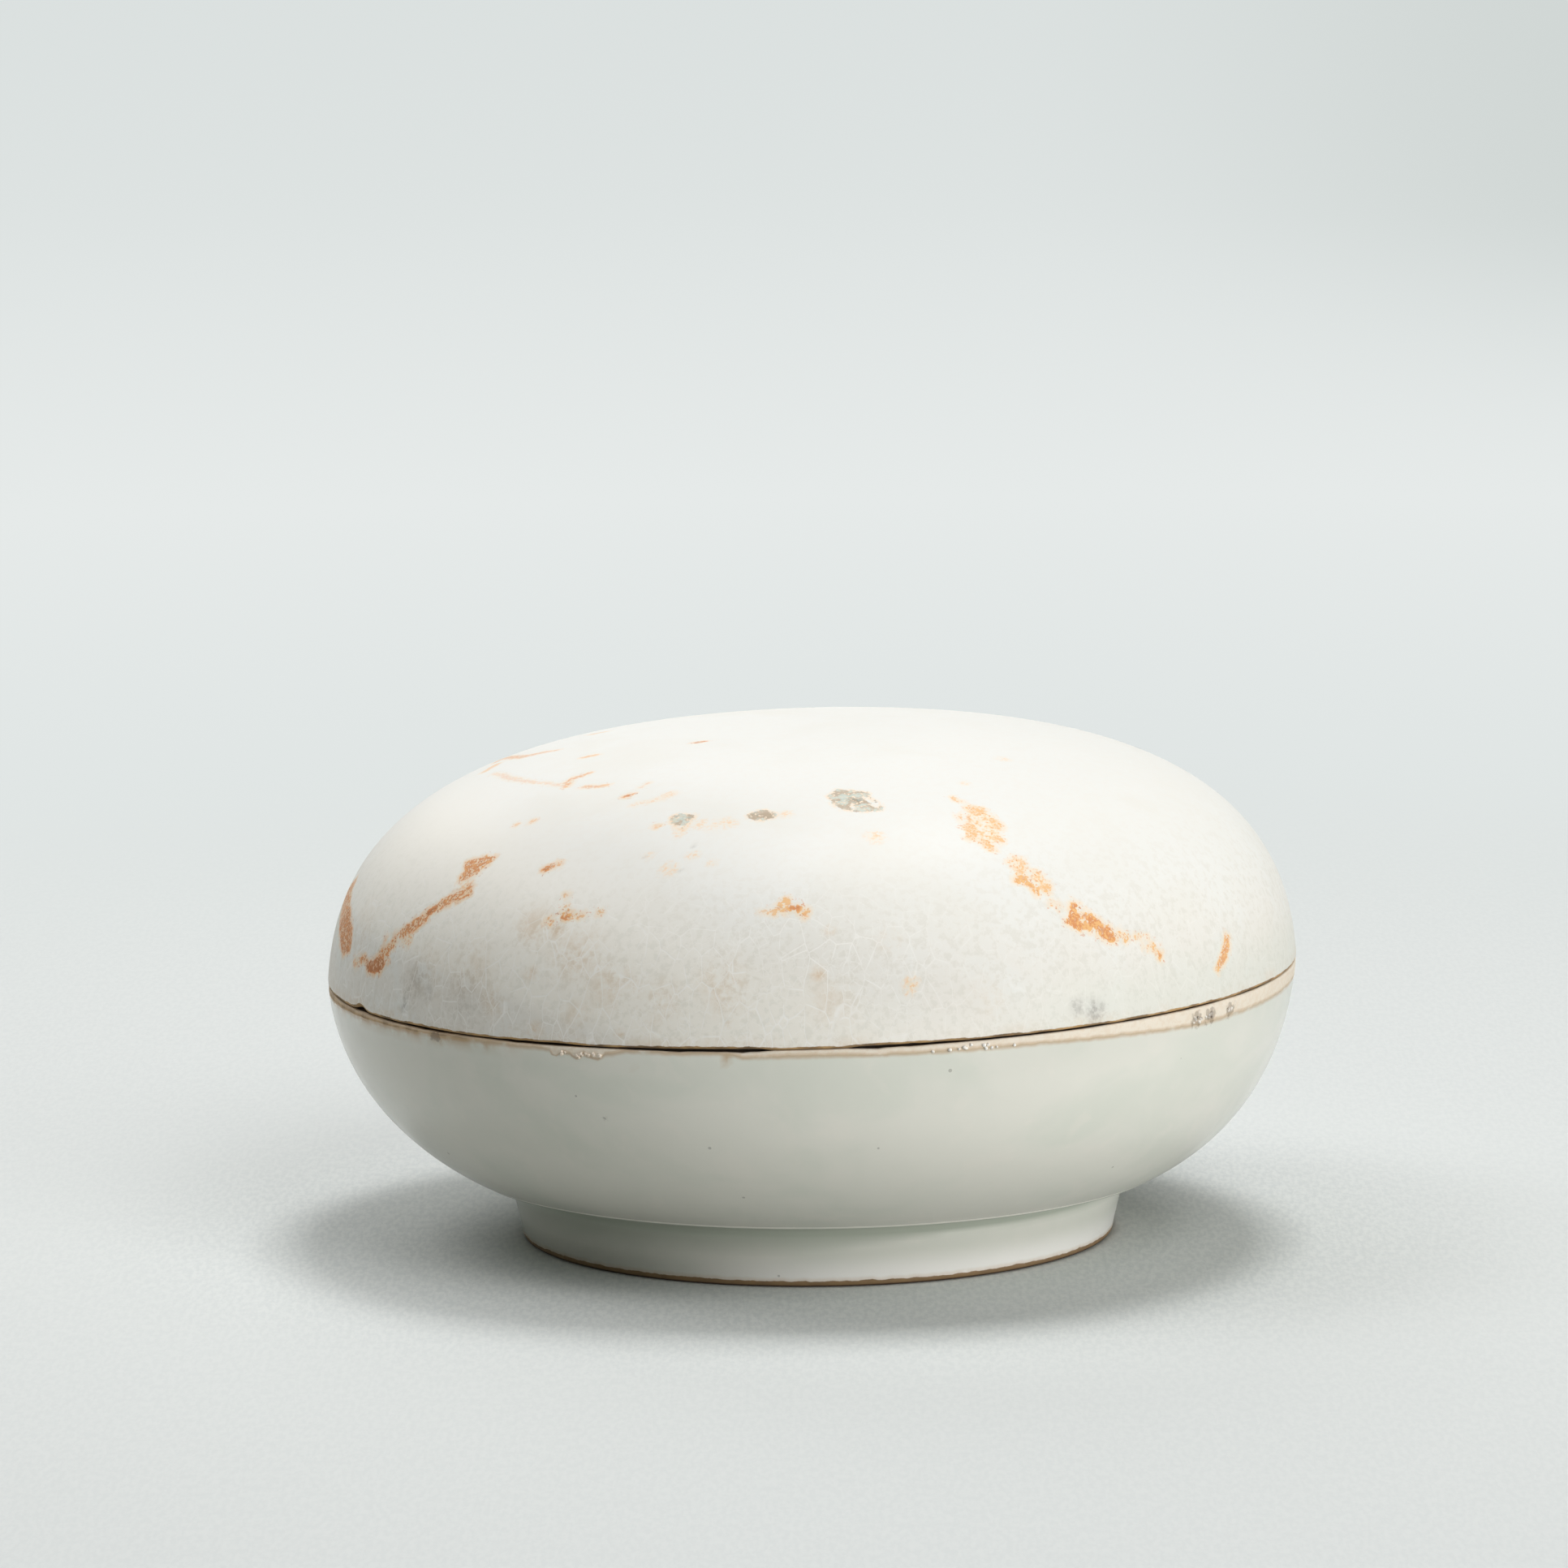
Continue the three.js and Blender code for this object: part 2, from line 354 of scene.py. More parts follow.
def lid_section(s):
    """Section of the lid, from the hollow's middle, over the rim and up to the crown."""
    rim_height = s.seam_height + s.seat_gap / 2
    dome = Dome(s.rim_radius, s.lid_rise + s.lid_swell, s.lid_round, s.lid_deep)
    edge_turn = dome.turn_at_height(s.lid_swell + s.seat_gap / 2 + s.edge_round)
    edge = float(dome.at(edge_turn)[0])
    inner_radius = s.rim_radius - s.ledge_width + s.collar_clearance
    inner_height = s.lid_rise - s.seat_gap / 2 - s.crown_wall
    hollow = Dome(inner_radius, inner_height, s.hollow_round, s.hollow_deep)
    soft = s.edge_round / 2
    soft_turn = hollow.turn_at_height(soft)
    hollow_run = hollow.run(math.pi / 2, soft_turn, rim_height, 1)
    inner = hollow_run[-1][0]

    section = Section()
    section.add(hollow_run, 2.1 * MM)
    seat_start = (inner + soft, rim_height)
    seat_end = (edge - s.edge_round, rim_height)
    section.add(bend(hollow_run[-1], (inner, rim_height), seat_start), 0.15 * MM, "seat")
    section.add([seat_start, seat_end], 0.6 * MM)
    rim_end = (edge, rim_height + s.edge_round)
    section.add(bend(seat_end, (edge, rim_height), rim_end, RIM_PULL), 0.12 * MM, "rim")
    crown = dome.run(edge_turn, math.pi / 2, s.seam_height - s.lid_swell, 1)
    section.add(crown, 1.3 * MM, "dome", fine_until=PAINTED_CLIMB, fine_step=0.5 * MM)
    return section


class Turned:
    """A turned piece as the kiln left it: where a place on its section comes to lie."""

    def __init__(self, shape, section):
        self.shape = shape
        self.points = section.points
        self.along = section.along()

    def place(self, degrees, along):
        """The point at an azimuth, 0 in front and growing to the right, and a distance along."""
        s = self.shape
        r = np.interp(along, self.along, self.points[:, 0])
        z = np.interp(along, self.along, self.points[:, 1])
        low, high = lean_range(s)
        share = eased(np.clip((z - low) / (high - low), 0, 1))
        turn = np.radians(degrees)
        x = r * np.sin(turn)
        lifted = z + x * math.tan(s.kiln_lean) * share
        return np.stack([x + s.foot_offset * (1 - share), -r * np.cos(turn), lifted], axis=-1)


def lean_range(s):
    """The levels between which the lean of the kiln sets in."""
    return s.foot_recess + s.floor_wall, s.seam_height - s.seat_gap / 2 - s.edge_round


# Nodes


def both_ways(operation):
    """The methods of an operator with the socket on its left and with the socket on its right."""

    def left(self, other):
        return self.maker.math(operation, self, other)

    def right(self, other):
        return self.maker.math(operation, other, self)

    return left, right


class Value:
    """A socket of a node tree that takes part in Python sums."""

    def __init__(self, maker, socket):
        self.maker = maker
        self.socket = socket

    __add__, __radd__ = both_ways("ADD")
    __sub__, __rsub__ = both_ways("SUBTRACT")
    __mul__, __rmul__ = both_ways("MULTIPLY")
    __truediv__, __rtruediv__ = both_ways("DIVIDE")

    def floor(self):
        return self.maker.math("FLOOR", self)

    def most(self, other):
        return self.maker.math("MAXIMUM", self, other)

    def step(self, low, high):
        """0 below low, 1 above high and a smooth way between; high below low turns it round."""
        if low <= high:
            return self.maker.smooth(self, low, high)
        return 1 - self.maker.smooth(self, high, low)


class NodeMaker:
    """Makes the nodes of one tree."""

    def __init__(self, tree):
        self.tree = tree

    def node(self, kind, settings=None, sockets=None, out=0):
        """Adds a node, sets it, fills its sockets and returns an output, or several for a tuple."""
        made = self.tree.nodes.new(kind)
        for name, value in (settings or {}).items():
            if name == "stops":
                self.fill_ramp(made.color_ramp, value)
            else:
                setattr(made, name, value)
        for name, value in (sockets or {}).items():
            if isinstance(value, Value):
                self.tree.links.new(value.socket, made.inputs[name])
            else:
                made.inputs[name].default_value = value
        if not made.outputs:
            return None
        if isinstance(out, tuple):
            return [Value(self, made.outputs[name]) for name in out]
        return Value(self, made.outputs[out])

    @staticmethod
    def fill_ramp(ramp, stops):
        while len(ramp.elements) < len(stops):
            ramp.elements.new(1.0)
        for element, (place, shade) in zip(ramp.elements, stops):
            element.position = place
            element.color = shade

    def math(self, operation, *numbers):
        return self.node("ShaderNodeMath", {"operation": operation}, dict(enumerate(numbers)))

    def smooth(self, value, low, high):
        settings = {"interpolation_type": "SMOOTHSTEP"}
        return self.node("ShaderNodeMapRange", settings, {0: value, 1: low, 2: high})

    def mix(self, factor, first, second):
        sockets = {0: factor, 6: first, 7: second}
        return self.node("ShaderNodeMix", {"data_type": "RGBA"}, sockets, 2)

    def coats(self, shade, *layers):
        """Lays colours over a shade, one after another, each by the share that it covers."""
        for share, tint in layers:
            shade = self.mix(share, shade, tint)
        return shade

    def split(self, vector):
        return self.node("ShaderNodeSeparateXYZ", None, {0: vector}, (0, 1, 2))

    def join(self, x, y, z):
        return self.node("ShaderNodeCombineXYZ", None, {0: x, 1: y, 2: z})

    def scaled(self, vector, x, y, z):
        sockets = {0: vector, 1: (x, y, z)}
        return self.node("ShaderNodeVectorMath", {"operation": "MULTIPLY"}, sockets)

    def moved(self, vector, offset):
        return self.node("ShaderNodeVectorMath", {"operation": "ADD"}, {0: vector, 1: offset})

    def noise(self, vector, size, detail=2.0, distortion=0.0, roughness=0.5):
        sockets = {
            "Vector": vector,
            "Scale": 1 / size,
            "Detail": detail,
            "Distortion": distortion,
            "Roughness": roughness,
        }
        return self.node("ShaderNodeTexNoise", {"noise_dimensions": "3D"}, sockets)

    def attribute(self, name, out=2):
        return self.node("ShaderNodeAttribute", {"attribute_name": name}, None, out)


class Finish:
    """A material in the making: millimetre coordinates, a shader and its bump."""

    def __init__(self, name):
        self.material = bpy.data.materials.new(name)
        self.material.use_nodes = True
        tree = self.material.node_tree
        tree.nodes.clear()
        self.maker = NodeMaker(tree)
        here = self.maker.node("ShaderNodeTexCoord", None, None, "Object")
        self.place = self.maker.scaled(here, 1 / MM, 1 / MM, 1 / MM)

    def close(self, shade, roughness, height, depth, strength):
        """Ends the tree in one shader, with a bump of a depth in millimetres."""
        sockets = {"Strength": strength, "Distance": depth * MM, "Height": height}
        normal = self.maker.node("ShaderNodeBump", None, sockets)
        sockets = {"Base Color": shade, "Roughness": roughness, "Normal": normal}
        surface = self.maker.node("ShaderNodeBsdfPrincipled", None, sockets)
        self.maker.node("ShaderNodeOutputMaterial", None, {"Surface": surface})
        return self.material


def specks(maker, place, spacing, largest):
    """Round specks, 1 in their middles, at a spacing and of random sizes, in millimetres."""
    settings = {"feature": "F1", "voronoi_dimensions": "3D"}
    sockets = {"Vector": place, "Scale": 1 / spacing}
    outputs = ("Distance", "Color")
    distance, chance = maker.node("ShaderNodeTexVoronoi", settings, sockets, outputs)
    reach = maker.split(chance)[0].step(0.55, 1.0) * (largest / spacing)
    return (reach - distance).step(0.0, 0.12 * largest / spacing)


def cracks(maker, place, width):
    """Lines between the cells of a pattern, 1 on a line; width is in units of a cell."""
    settings = {"feature": "DISTANCE_TO_EDGE", "voronoi_dimensions": "3D"}
    distance = maker.node("ShaderNodeTexVoronoi", settings, {"Vector": place, "Scale": 1.0})
    return distance.step(width, 0.0)


def glaze_frame(finish, shape):
    """Height above the leaning seam in millimetres, measured upright."""
    x, _, z = finish.maker.split(finish.place)
    return z - x * math.tan(shape.kiln_lean) - shape.seam_height / MM


def lid_glaze(shape, c):
    """White crackled glaze with the remains of red and green enamel."""
    finish = Finish("lid_glaze")
    maker, place = finish.maker, finish.place
    level = glaze_frame(finish, shape)
    across, inward, _ = maker.split(place)
    cloud = maker.noise(place, 16, detail=3, distortion=0.6)
    mottle = maker.noise(place, 3.5, detail=4)
    pebble = maker.noise(place, 0.9, detail=3, roughness=0.65)
    grain = maker.noise(place, 0.5, detail=3)

    # Glaze: clouds, a stained lower part, painted light that whitens the lower left front, painted
    # shade that darkens the lower right, stains and smudges.
    low = level.step(17, 3) * maker.noise(place, 9, detail=3, distortion=0.8).step(0.25, 0.6)
    # Painted light: the lower left front of the lid is made whiter.
    clean = (8 - across * 0.4 - level).step(-5, 6) * (level + across * 0.25).step(-5.5, -2.5)
    tan, smudge, pale = maker.split(maker.attribute("stain", 1))
    shade = maker.coats(
        c.lid_white,
        (cloud.step(0.45, 0.75), c.lid_cloud),
        (low * 0.7, c.lid_low),
        (pebble.step(0.44, 0.62) * (0.2 + level.step(22, 8) * 0.3), c.lid_low),
        (clean * inward.step(15, -20) * 0.85, c.clean),
        # painted shade: the lower right of the lid is darker and greener
        (across.step(15, 35) * level.step(9, 2) * 0.5, c.base_cloud),
        (pebble.step(0.5, 0.62) * level.step(24, 10) * 0.12, c.pooled),
        (tan * (mottle * 0.5 + pebble * 0.5).step(0.38, 0.62), c.tan),
        (tan.step(0.3, 1.0) * pebble.step(0.42, 0.58) * 0.25, c.flash),
        (smudge * (0.4 + pebble.step(0.4, 0.6) * 0.6) * 0.9, c.smudge),
    )

    # Crackle: long cells that run upwards, broken small ones between them, and iron specks.
    bent = maker.noise(place, 6)
    wander = maker.join(bent * 0.6, bent * -0.5, bent * 0.3)
    long_cells = maker.moved(maker.scaled(place, 1 / 2.3, 1 / 2.3, 1 / 5.0), wander)
    small_cells = maker.moved(maker.scaled(place, 1 / 0.9, 1 / 0.9, 1 / 1.1), wander)
    broken = maker.noise(place, 2.2, detail=3, distortion=0.5).step(0.42, 0.6)
    fine = cracks(maker, small_cells, 0.09) * broken * 0.55
    crazed = (cracks(maker, long_cells, 0.035) * mottle.step(0.36, 0.5)).most(fine)
    crazed = crazed * level.step(22, 8) * (0.25 + across.step(22, -2) * 0.75)
    iron = specks(maker, place, 9, 0.4)
    shade = maker.coats(shade, (crazed * 0.7, c.crackle), (iron * 0.5, c.soot))

    # Red enamel: a pale haze where it came off, then what still holds, darker where it is thick.
    red, leaf, keep = maker.split(maker.attribute("enamel", 1))
    depth, strength, dark = maker.split(maker.attribute("wear", 1))
    flake = maker.noise(place, 1.3, detail=3, distortion=0.5)
    peel = maker.noise(place, 0.8, detail=4, distortion=0.5, roughness=0.65)
    fleck = maker.noise(place, 0.42)
    rough = peel * 0.5 + fleck * 0.5
    edge = red + (flake - 0.5) * 0.7 + (fleck - 0.5)
    hold = peel * 0.4 + fleck * 0.6 - keep
    thick = edge.step(0.06, -0.1) * hold.step(0.03, -0.03) * strength
    stray = fleck.step(0.62, 0.68) * red.step(1.1, 0.1) * strength
    haze = (red + (flake - 0.5) * 1.6).step(0.8, -0.3) * 0.8 * strength
    haze = haze.most(pale * (0.3 + rough.step(0.4, 0.56) * 0.7))
    glow = maker.mix(depth.step(0.5, 1.0) * 0.8, c.ghost, c.orange)
    tone = depth + (peel - 0.5) * 1.8 + (fleck - 0.5) * 2.0 - edge.step(-0.35, 0.0) * 0.25
    brick = maker.coats(c.orange, (tone.step(0.15, 0.55), c.red), (tone.step(0.6, 1.0), c.umber))
    shade = maker.coats(
        shade,
        (haze, glow),
        (pale * rough.step(0.51, 0.58) * 0.75, c.orange),
        (thick.most(stray * 0.8), brick),
    )

    # Green enamel: mottled leaves with a brown outline.
    leaf_edge = leaf + (flake - 0.5) * 1.2 + (fleck - 0.5)
    in_leaf = leaf_edge.step(0.08, -0.1) * rough.step(0.6, 0.53)
    margin = (leaf + (flake - 0.5) * 7.0 + (fleck - 0.5) * 2.0).step(-0.8, -0.2)
    green = maker.coats(
        c.leaf,
        ((dark + (flake - 0.5) * 1.6).step(0.2, 0.8), c.leaf_dark),
        (margin.most(peel.step(0.53, 0.6)) * 0.8, c.leaf_line),
    )
    shade = maker.coats(
        shade,
        (leaf_edge.step(0.7, 0.0) * rough.step(0.42, 0.55) * 0.6, c.ghost),
        (in_leaf * (0.7 + flake.step(0.42, 0.55) * 0.25), green),
    )

    # Bare clay of the seat.
    bare = maker.attribute("bare") + (maker.noise(place, 1.4, detail=3) - 0.5) * 0.4
    clay = bare.step(-0.05, 0.05)
    clay_shade = maker.coats(
        c.flash, (mottle.step(0.35, 0.7), c.burnt), (bare.step(0.8, 1.4) * 0.75, c.clay)
    )
    shade = maker.mix(clay, shade, clay_shade)

    painted = thick.most(in_leaf)
    roughness = 0.46 + cloud * 0.08 + painted * 0.15 + clay * 0.3 + grain * 0.05
    relief = mottle * 0.12 + grain * 0.08 + painted * 0.45 - crazed * 0.15 - clay * 0.3
    return finish.close(shade, roughness, relief, depth=0.12, strength=0.4)


def base_glaze(shape, c):
    """Greenish white glaze that stops short of the rim and of the foot."""
    finish = Finish("base_glaze")
    maker, place = finish.maker, finish.place
    level = glaze_frame(finish, shape)
    across, _, height = maker.split(place)
    cloud = maker.noise(maker.scaled(place, 1, 1, 1.6), 15, detail=3, distortion=0.5)
    patchy = maker.noise(place, 5, detail=3, distortion=0.5)
    mottle = maker.noise(place, 2.4, detail=4)
    grain = maker.noise(place, 0.5, detail=3)
    bare, thin, pooled = maker.split(maker.attribute("glaze", 1))
    tan, smudge, lump = maker.split(maker.attribute("stain", 1))

    # Glaze: clouds, pooled glaze above the foot that is also painted shade, painted light on the
    # lower right of the foot, painted shade on the right below the rim, the worn ridge with a
    # painted highlight, and specks.
    iron = specks(maker, place, 9, 0.55).most(specks(maker, place, 4, 0.25) * 0.5)
    shade = maker.coats(
        c.base_white,
        (cloud.step(0.4, 0.7), c.base_cloud),
        (patchy.step(0.55, 0.7) * 0.3, c.thin),
        # pooled glaze, also painted shade under the bowl's overhang
        (pooled, c.pooled),
        # painted light: the lower right of the foot is made whiter
        (height.step(4.5, 1.2) * across.step(-22, 2) * 0.9, c.crackle),
        # painted shade: the base's right just below the rim is darker
        (level.step(-7, -1) * across.step(12, 28) * 0.13, c.pooled),
        # partly painted highlight: a bright line along the ridge of the step, where the glaze is
        # also thin
        (thin * mottle.step(0.2, 0.45) * 0.75, c.clean),
        (iron * 0.7, c.soot),
        (tan * mottle.step(0.3, 0.6) * 0.85, c.flash),
    )

    # Bare clay: sandy at the rim, burnt by the shelf on the foot with painted shade along its
    # lowest edge, flashed where the glaze ends.
    uneven = bare + (maker.noise(place, 1.6, detail=4) - 0.5) * 0.45 + lump
    clay = uneven.step(-0.06, 0.06)
    on_foot = height.step(12, 8)
    flashed = uneven.step(-0.6, -0.05) * mottle.step(0.15, 0.45)
    sandy = maker.noise(place, 0.7, detail=3, roughness=0.65).step(0.44, 0.6)
    shelf = maker.coats(
        c.flash,
        (0.5 + mottle * 0.5, c.burnt),
        (bare.step(0.9, 1.8) * 0.55, c.clay),
        # painted shade: the lowest edge of the foot, next to the floor, turns nearly black
        (height.step(0.35, 0.12) * bare.step(1.8, 0.9) * 0.9, c.soot),
    )
    clay_shade = maker.coats(
        c.clay,
        (sandy * 0.25, c.tan),
        (uneven.step(0.4, 0.05) * mottle.step(0.2, 0.45) * 0.45, c.flash),
        (tan * 0.8, c.flash),
        (tan.step(0.4, 1.0) * mottle.step(0.4, 0.6) * 0.7, c.burnt),
        (on_foot, shelf),
    )

    # Dirt that is rubbed in, browner on the right; on the ledge inside the seam it is dirt and
    # painted shade.
    grimy = maker.noise(place, 0.6, detail=3)
    soiled_and_shaded = (smudge + (grimy - 0.5) * 1.5).step(0.2, 0.5) * smudge.step(0.0, 0.3)
    dirt_and_shade = maker.mix(across.step(30, 40) * 0.85, c.soot, c.burnt)
    shade = maker.coats(
        shade,
        (flashed * (0.65 - on_foot * 0.35), c.flash),
        (clay, clay_shade),
        (soiled_and_shaded * (0.45 + smudge.step(0.7, 1.0) * 0.5), dirt_and_shade),
    )

    roughness = 0.16 + cloud * 0.06 + clay * 0.5 + grain * 0.03
    relief = mottle * 0.2 + grain * (0.04 + clay * 0.3) - clay * 0.5
    return finish.close(shade, roughness, relief, depth=0.14, strength=0.45)


def kiln_grit(c):
    """Sand and ash from the kiln shelf, fused to the clay."""
    finish = Finish("kiln_grit")
    maker, place = finish.maker, finish.place
    across = maker.split(place)[0]
    patch = maker.noise(place, 0.9)
    sooty = across.step(40, 43) * maker.noise(place, 1.1).step(0.4, 0.55)
    shade = maker.coats(
        c.crackle,
        (patch.step(0.4, 0.6) * 0.3, c.tan),
        (across.step(0, -2) * 0.5, c.tan),
        (sooty * 0.7, c.burnt),
    )
    return finish.close(shade, 0.25 + patch * 0.3, patch, depth=0.05, strength=0.5)


def sweep_paper(settings):
    """Pale cloth: it keeps the shadow near the box and far from it glows as background, with
    painted light.
    """
    finish = Finish("pale_cloth")
    maker, place = finish.maker, finish.place
    reach = maker.attribute("reach")
    rays = ("Is Camera Ray", "Is Glossy Ray", "Is Transmission Ray")
    camera, glossy, passed = maker.node("ShaderNodeLightPath", None, None, rays)
    seen = camera.most(glossy).most(passed)

    nap = maker.noise(maker.scaled(place, 1, 0.4, 1), 0.7, roughness=0.7)
    thread = maker.noise(maker.scaled(place, 1, 0.2, 1), 0.6)
    weave = (nap * 0.5 + thread * 0.5).step(0.38, 0.62) * (0.35 + reach.step(0.1, 0.05) * 0.65)
    cloth = maker.mix(weave, settings.floor, settings.floor_thread)
    cloth = maker.mix(seen, settings.floor_bounce, cloth)
    sockets = {"Base Color": cloth, "Roughness": 0.9, "Specular IOR Level": 0.1}
    near = maker.node("ShaderNodeBsdfPrincipled", None, sockets)

    # Painted light: far from the box the cloth glows instead of being lit, brightest at a middle
    # distance, darker on the far wall and towards the right.
    stops = [
        (0.00, paint(221, 226, 224)),
        (0.18, paint(225, 230, 229)),
        (0.34, paint(230, 234, 233)),
        (1.00, paint(214, 220, 219)),
    ]
    shade = maker.node("ShaderNodeValToRGB", {"stops": stops}, {0: reach / SWEEP_LENGTH})
    side = maker.split(place)[0].step(60, 280) * reach.step(0.8, 1.7)
    shade = maker.mix(side, shade, paint(209, 215, 213))
    far = maker.node("ShaderNodeEmission", None, {"Color": shade, "Strength": 1.0})

    blend = reach.step(0.16, 0.42) * seen
    surface = maker.node("ShaderNodeMixShader", None, {0: blend, 1: near, 2: far})
    below = maker.node("ShaderNodeNewGeometry", None, None, "Backfacing") * seen
    clear = maker.node("ShaderNodeBsdfTransparent")
    surface = maker.node("ShaderNodeMixShader", None, {0: below, 1: surface, 2: clear})
    maker.node("ShaderNodeOutputMaterial", None, {"Surface": surface})
    return finish.material


# Geometry node trees


class PieceTree:
    """A geometry node tree with named inputs."""

    def __init__(self, name, inputs):
        self.tree = bpy.data.node_groups.new(name, "GeometryNodeTree")
        self.maker = NodeMaker(self.tree)
        face = self.tree.interface
        face.new_socket("Geometry", in_out="INPUT", socket_type="NodeSocketGeometry")
        face.new_socket("Geometry", in_out="OUTPUT", socket_type="NodeSocketGeometry")
        self.keys = {}
        for label, kind in inputs:
            self.keys[label] = face.new_socket(label, in_out="INPUT", socket_type=kind).identifier

    def input(self, label):
        return self.maker.node("NodeGroupInput", None, None, label)

    def finish(self, geometry):
        """Ends the tree in plain, smooth geometry with its material."""
        maker = self.maker
        geometry = maker.node("GeometryNodeSetShadeSmooth", None, {0: geometry})
        geometry = maker.node("GeometryNodeRealizeInstances", None, {0: geometry})
        sockets = {"Geometry": geometry, "Material": self.input("Material")}
        geometry = maker.node("GeometryNodeSetMaterial", None, sockets)
        maker.node("NodeGroupOutput", None, {0: geometry})

    def make(self, name, mesh, values):
        """Runs the tree on a mesh and returns an object with the result as a plain mesh."""
        made = bpy.data.objects.new(name, mesh)
        bpy.context.collection.objects.link(made)
        modifier = made.modifiers.new(self.tree.name, "NODES")
        modifier.node_group = self.tree
        for label, value in values.items():
            modifier[self.keys[label]] = value
        graph = bpy.context.evaluated_depsgraph_get()
        result = bpy.data.meshes.new_from_object(
            made.evaluated_get(graph), preserve_all_data_layers=True, depsgraph=graph
        )
        made.modifiers.clear()
        made.data = result
        bpy.data.meshes.remove(mesh)
        result.name = name
        if not len(result.polygons):
            raise RuntimeError(f"{name} came out empty")
        return made


def wheel_tree():
    """Turns a section round the axis, then lets it lean and wander as the fired piece did."""
    numbers = ("Lean Slope", "Lean Start", "Lean End", "Foot Offset", "Ring Depth", "Ring Pitch")
    numbers += ("Warp", "Rim Radius", "Seed")
    inputs = [("Segments", "NodeSocketInt"), ("Material", "NodeSocketMaterial")]
    inputs += [(label, "NodeSocketFloat") for label in numbers]
    piece = PieceTree("Turned on the wheel", inputs)
    maker = piece.maker
    section = piece.input("Geometry")
    segments = piece.input("Segments")
    radius = piece.input("Rim Radius")
    seed = piece.input("Seed")

    settings = {"component": "MESH"}
    steps = maker.node("GeometryNodeAttributeDomainSize", settings, {0: section}, "Point Count")
    column = segments + 1
    sockets = {"Size X": 1.0, "Size Y": 1.0, "Vertices X": steps, "Vertices Y": column}
    sheet = maker.node("GeometryNodeMeshGrid", None, sockets, "Mesh")
    index = maker.node("GeometryNodeInputIndex")
    step = (index / column).floor()
    turn = (index - step * column) / segments * math.tau

    def sampled(kind, value):
        """A value of the section at the step that a point of the sheet belongs to."""
        settings = {"data_type": kind, "domain": "POINT"}
        sockets = {"Geometry": section, "Value": value, "Index": step}
        return maker.node("GeometryNodeSampleIndex", settings, sockets)

    r, _, z = maker.split(sampled("FLOAT_VECTOR", maker.node("GeometryNodeInputPosition")))
    walk = maker.node("GeometryNodeInputNamedAttribute", {"data_type": "FLOAT"}, {"Name": "along"})
    along = sampled("FLOAT", walk)

    # The wall wanders slowly round the piece and the rings of the fingers run along it.
    across = maker.math("SINE", turn)
    depth = maker.math("COSINE", turn)
    round_place = maker.join(across * 0.6 + seed, depth * 0.6, z / radius)
    wander = maker.noise(round_place, 0.7, detail=1)
    ring_place = maker.join(across * 0.35, depth * 0.35 + seed, along / piece.input("Ring Pitch"))
    ring = maker.noise(ring_place, 1.0, detail=1)
    drawn_in = wander * piece.input("Warp") + ring * piece.input("Ring Depth")
    r = r - drawn_in * (r / radius)

    share = maker.smooth(z, piece.input("Lean Start"), piece.input("Lean End"))
    x = r * across
    leaned = maker.join(
        x + piece.input("Foot Offset") * (1 - share),
        r * depth * -1,
        z + x * piece.input("Lean Slope") * share,
    )
    turned = maker.node("GeometryNodeSetPosition", None, {"Geometry": sheet, "Position": leaned})
    settings = {"data_type": "FLOAT", "domain": "POINT"}
    sockets = {"Geometry": turned, "Name": "along", "Value": along}
    turned = maker.node("GeometryNodeStoreNamedAttribute", settings, sockets)
    sockets = {"Geometry": turned, "Distance": SAME_POINT}
    piece.finish(maker.node("GeometryNodeMergeByDistance", None, sockets))
    return piece


def grit_tree():
    """Puts a rough grain of random size and turn on every point."""
    inputs = [
        ("Grain Size", "NodeSocketFloat"),
        ("Seed", "NodeSocketInt"),
        ("Material", "NodeSocketMaterial"),
    ]
    piece = PieceTree("Kiln grit", inputs)
    maker = piece.maker
    seed = piece.input("Seed")

    # A ball that swells and shrinks unevenly, then from 0.45 to 1 of its size on every point.
    sockets = {"Radius": piece.input("Grain Size"), "Subdivisions": 2}
    grain = maker.node("GeometryNodeMeshIcoSphere", None, sockets, "Mesh")
    position = maker.node("GeometryNodeInputPosition")
    rough = maker.noise(maker.scaled(position, 1 / MM, 1 / MM, 1 / MM), 0.35, detail=1)
    sockets = {0: position, "Scale": (rough - 0.5) * 1.2}
    swell = maker.node("ShaderNodeVectorMath", {"operation": "SCALE"}, sockets)
    grain = maker.node("GeometryNodeSetPosition", None, {"Geometry": grain, "Offset": swell})
    sockets = {0: (0, 0, 0), 1: (math.tau, math.tau, math.tau), "Seed": seed}
    turn = maker.node("FunctionNodeRandomValue", {"data_type": "FLOAT_VECTOR"}, sockets)
    sockets = {2: 0.45, 3: 1.0, "Seed": seed}
    size = maker.node("FunctionNodeRandomValue", {"data_type": "FLOAT"}, sockets, 1)
    points = piece.input("Geometry")
    sockets = {"Points": points, "Instance": grain, "Rotation": turn, "Scale": size}
    piece.finish(maker.node("GeometryNodeInstanceOnPoints", None, sockets))
    return piece


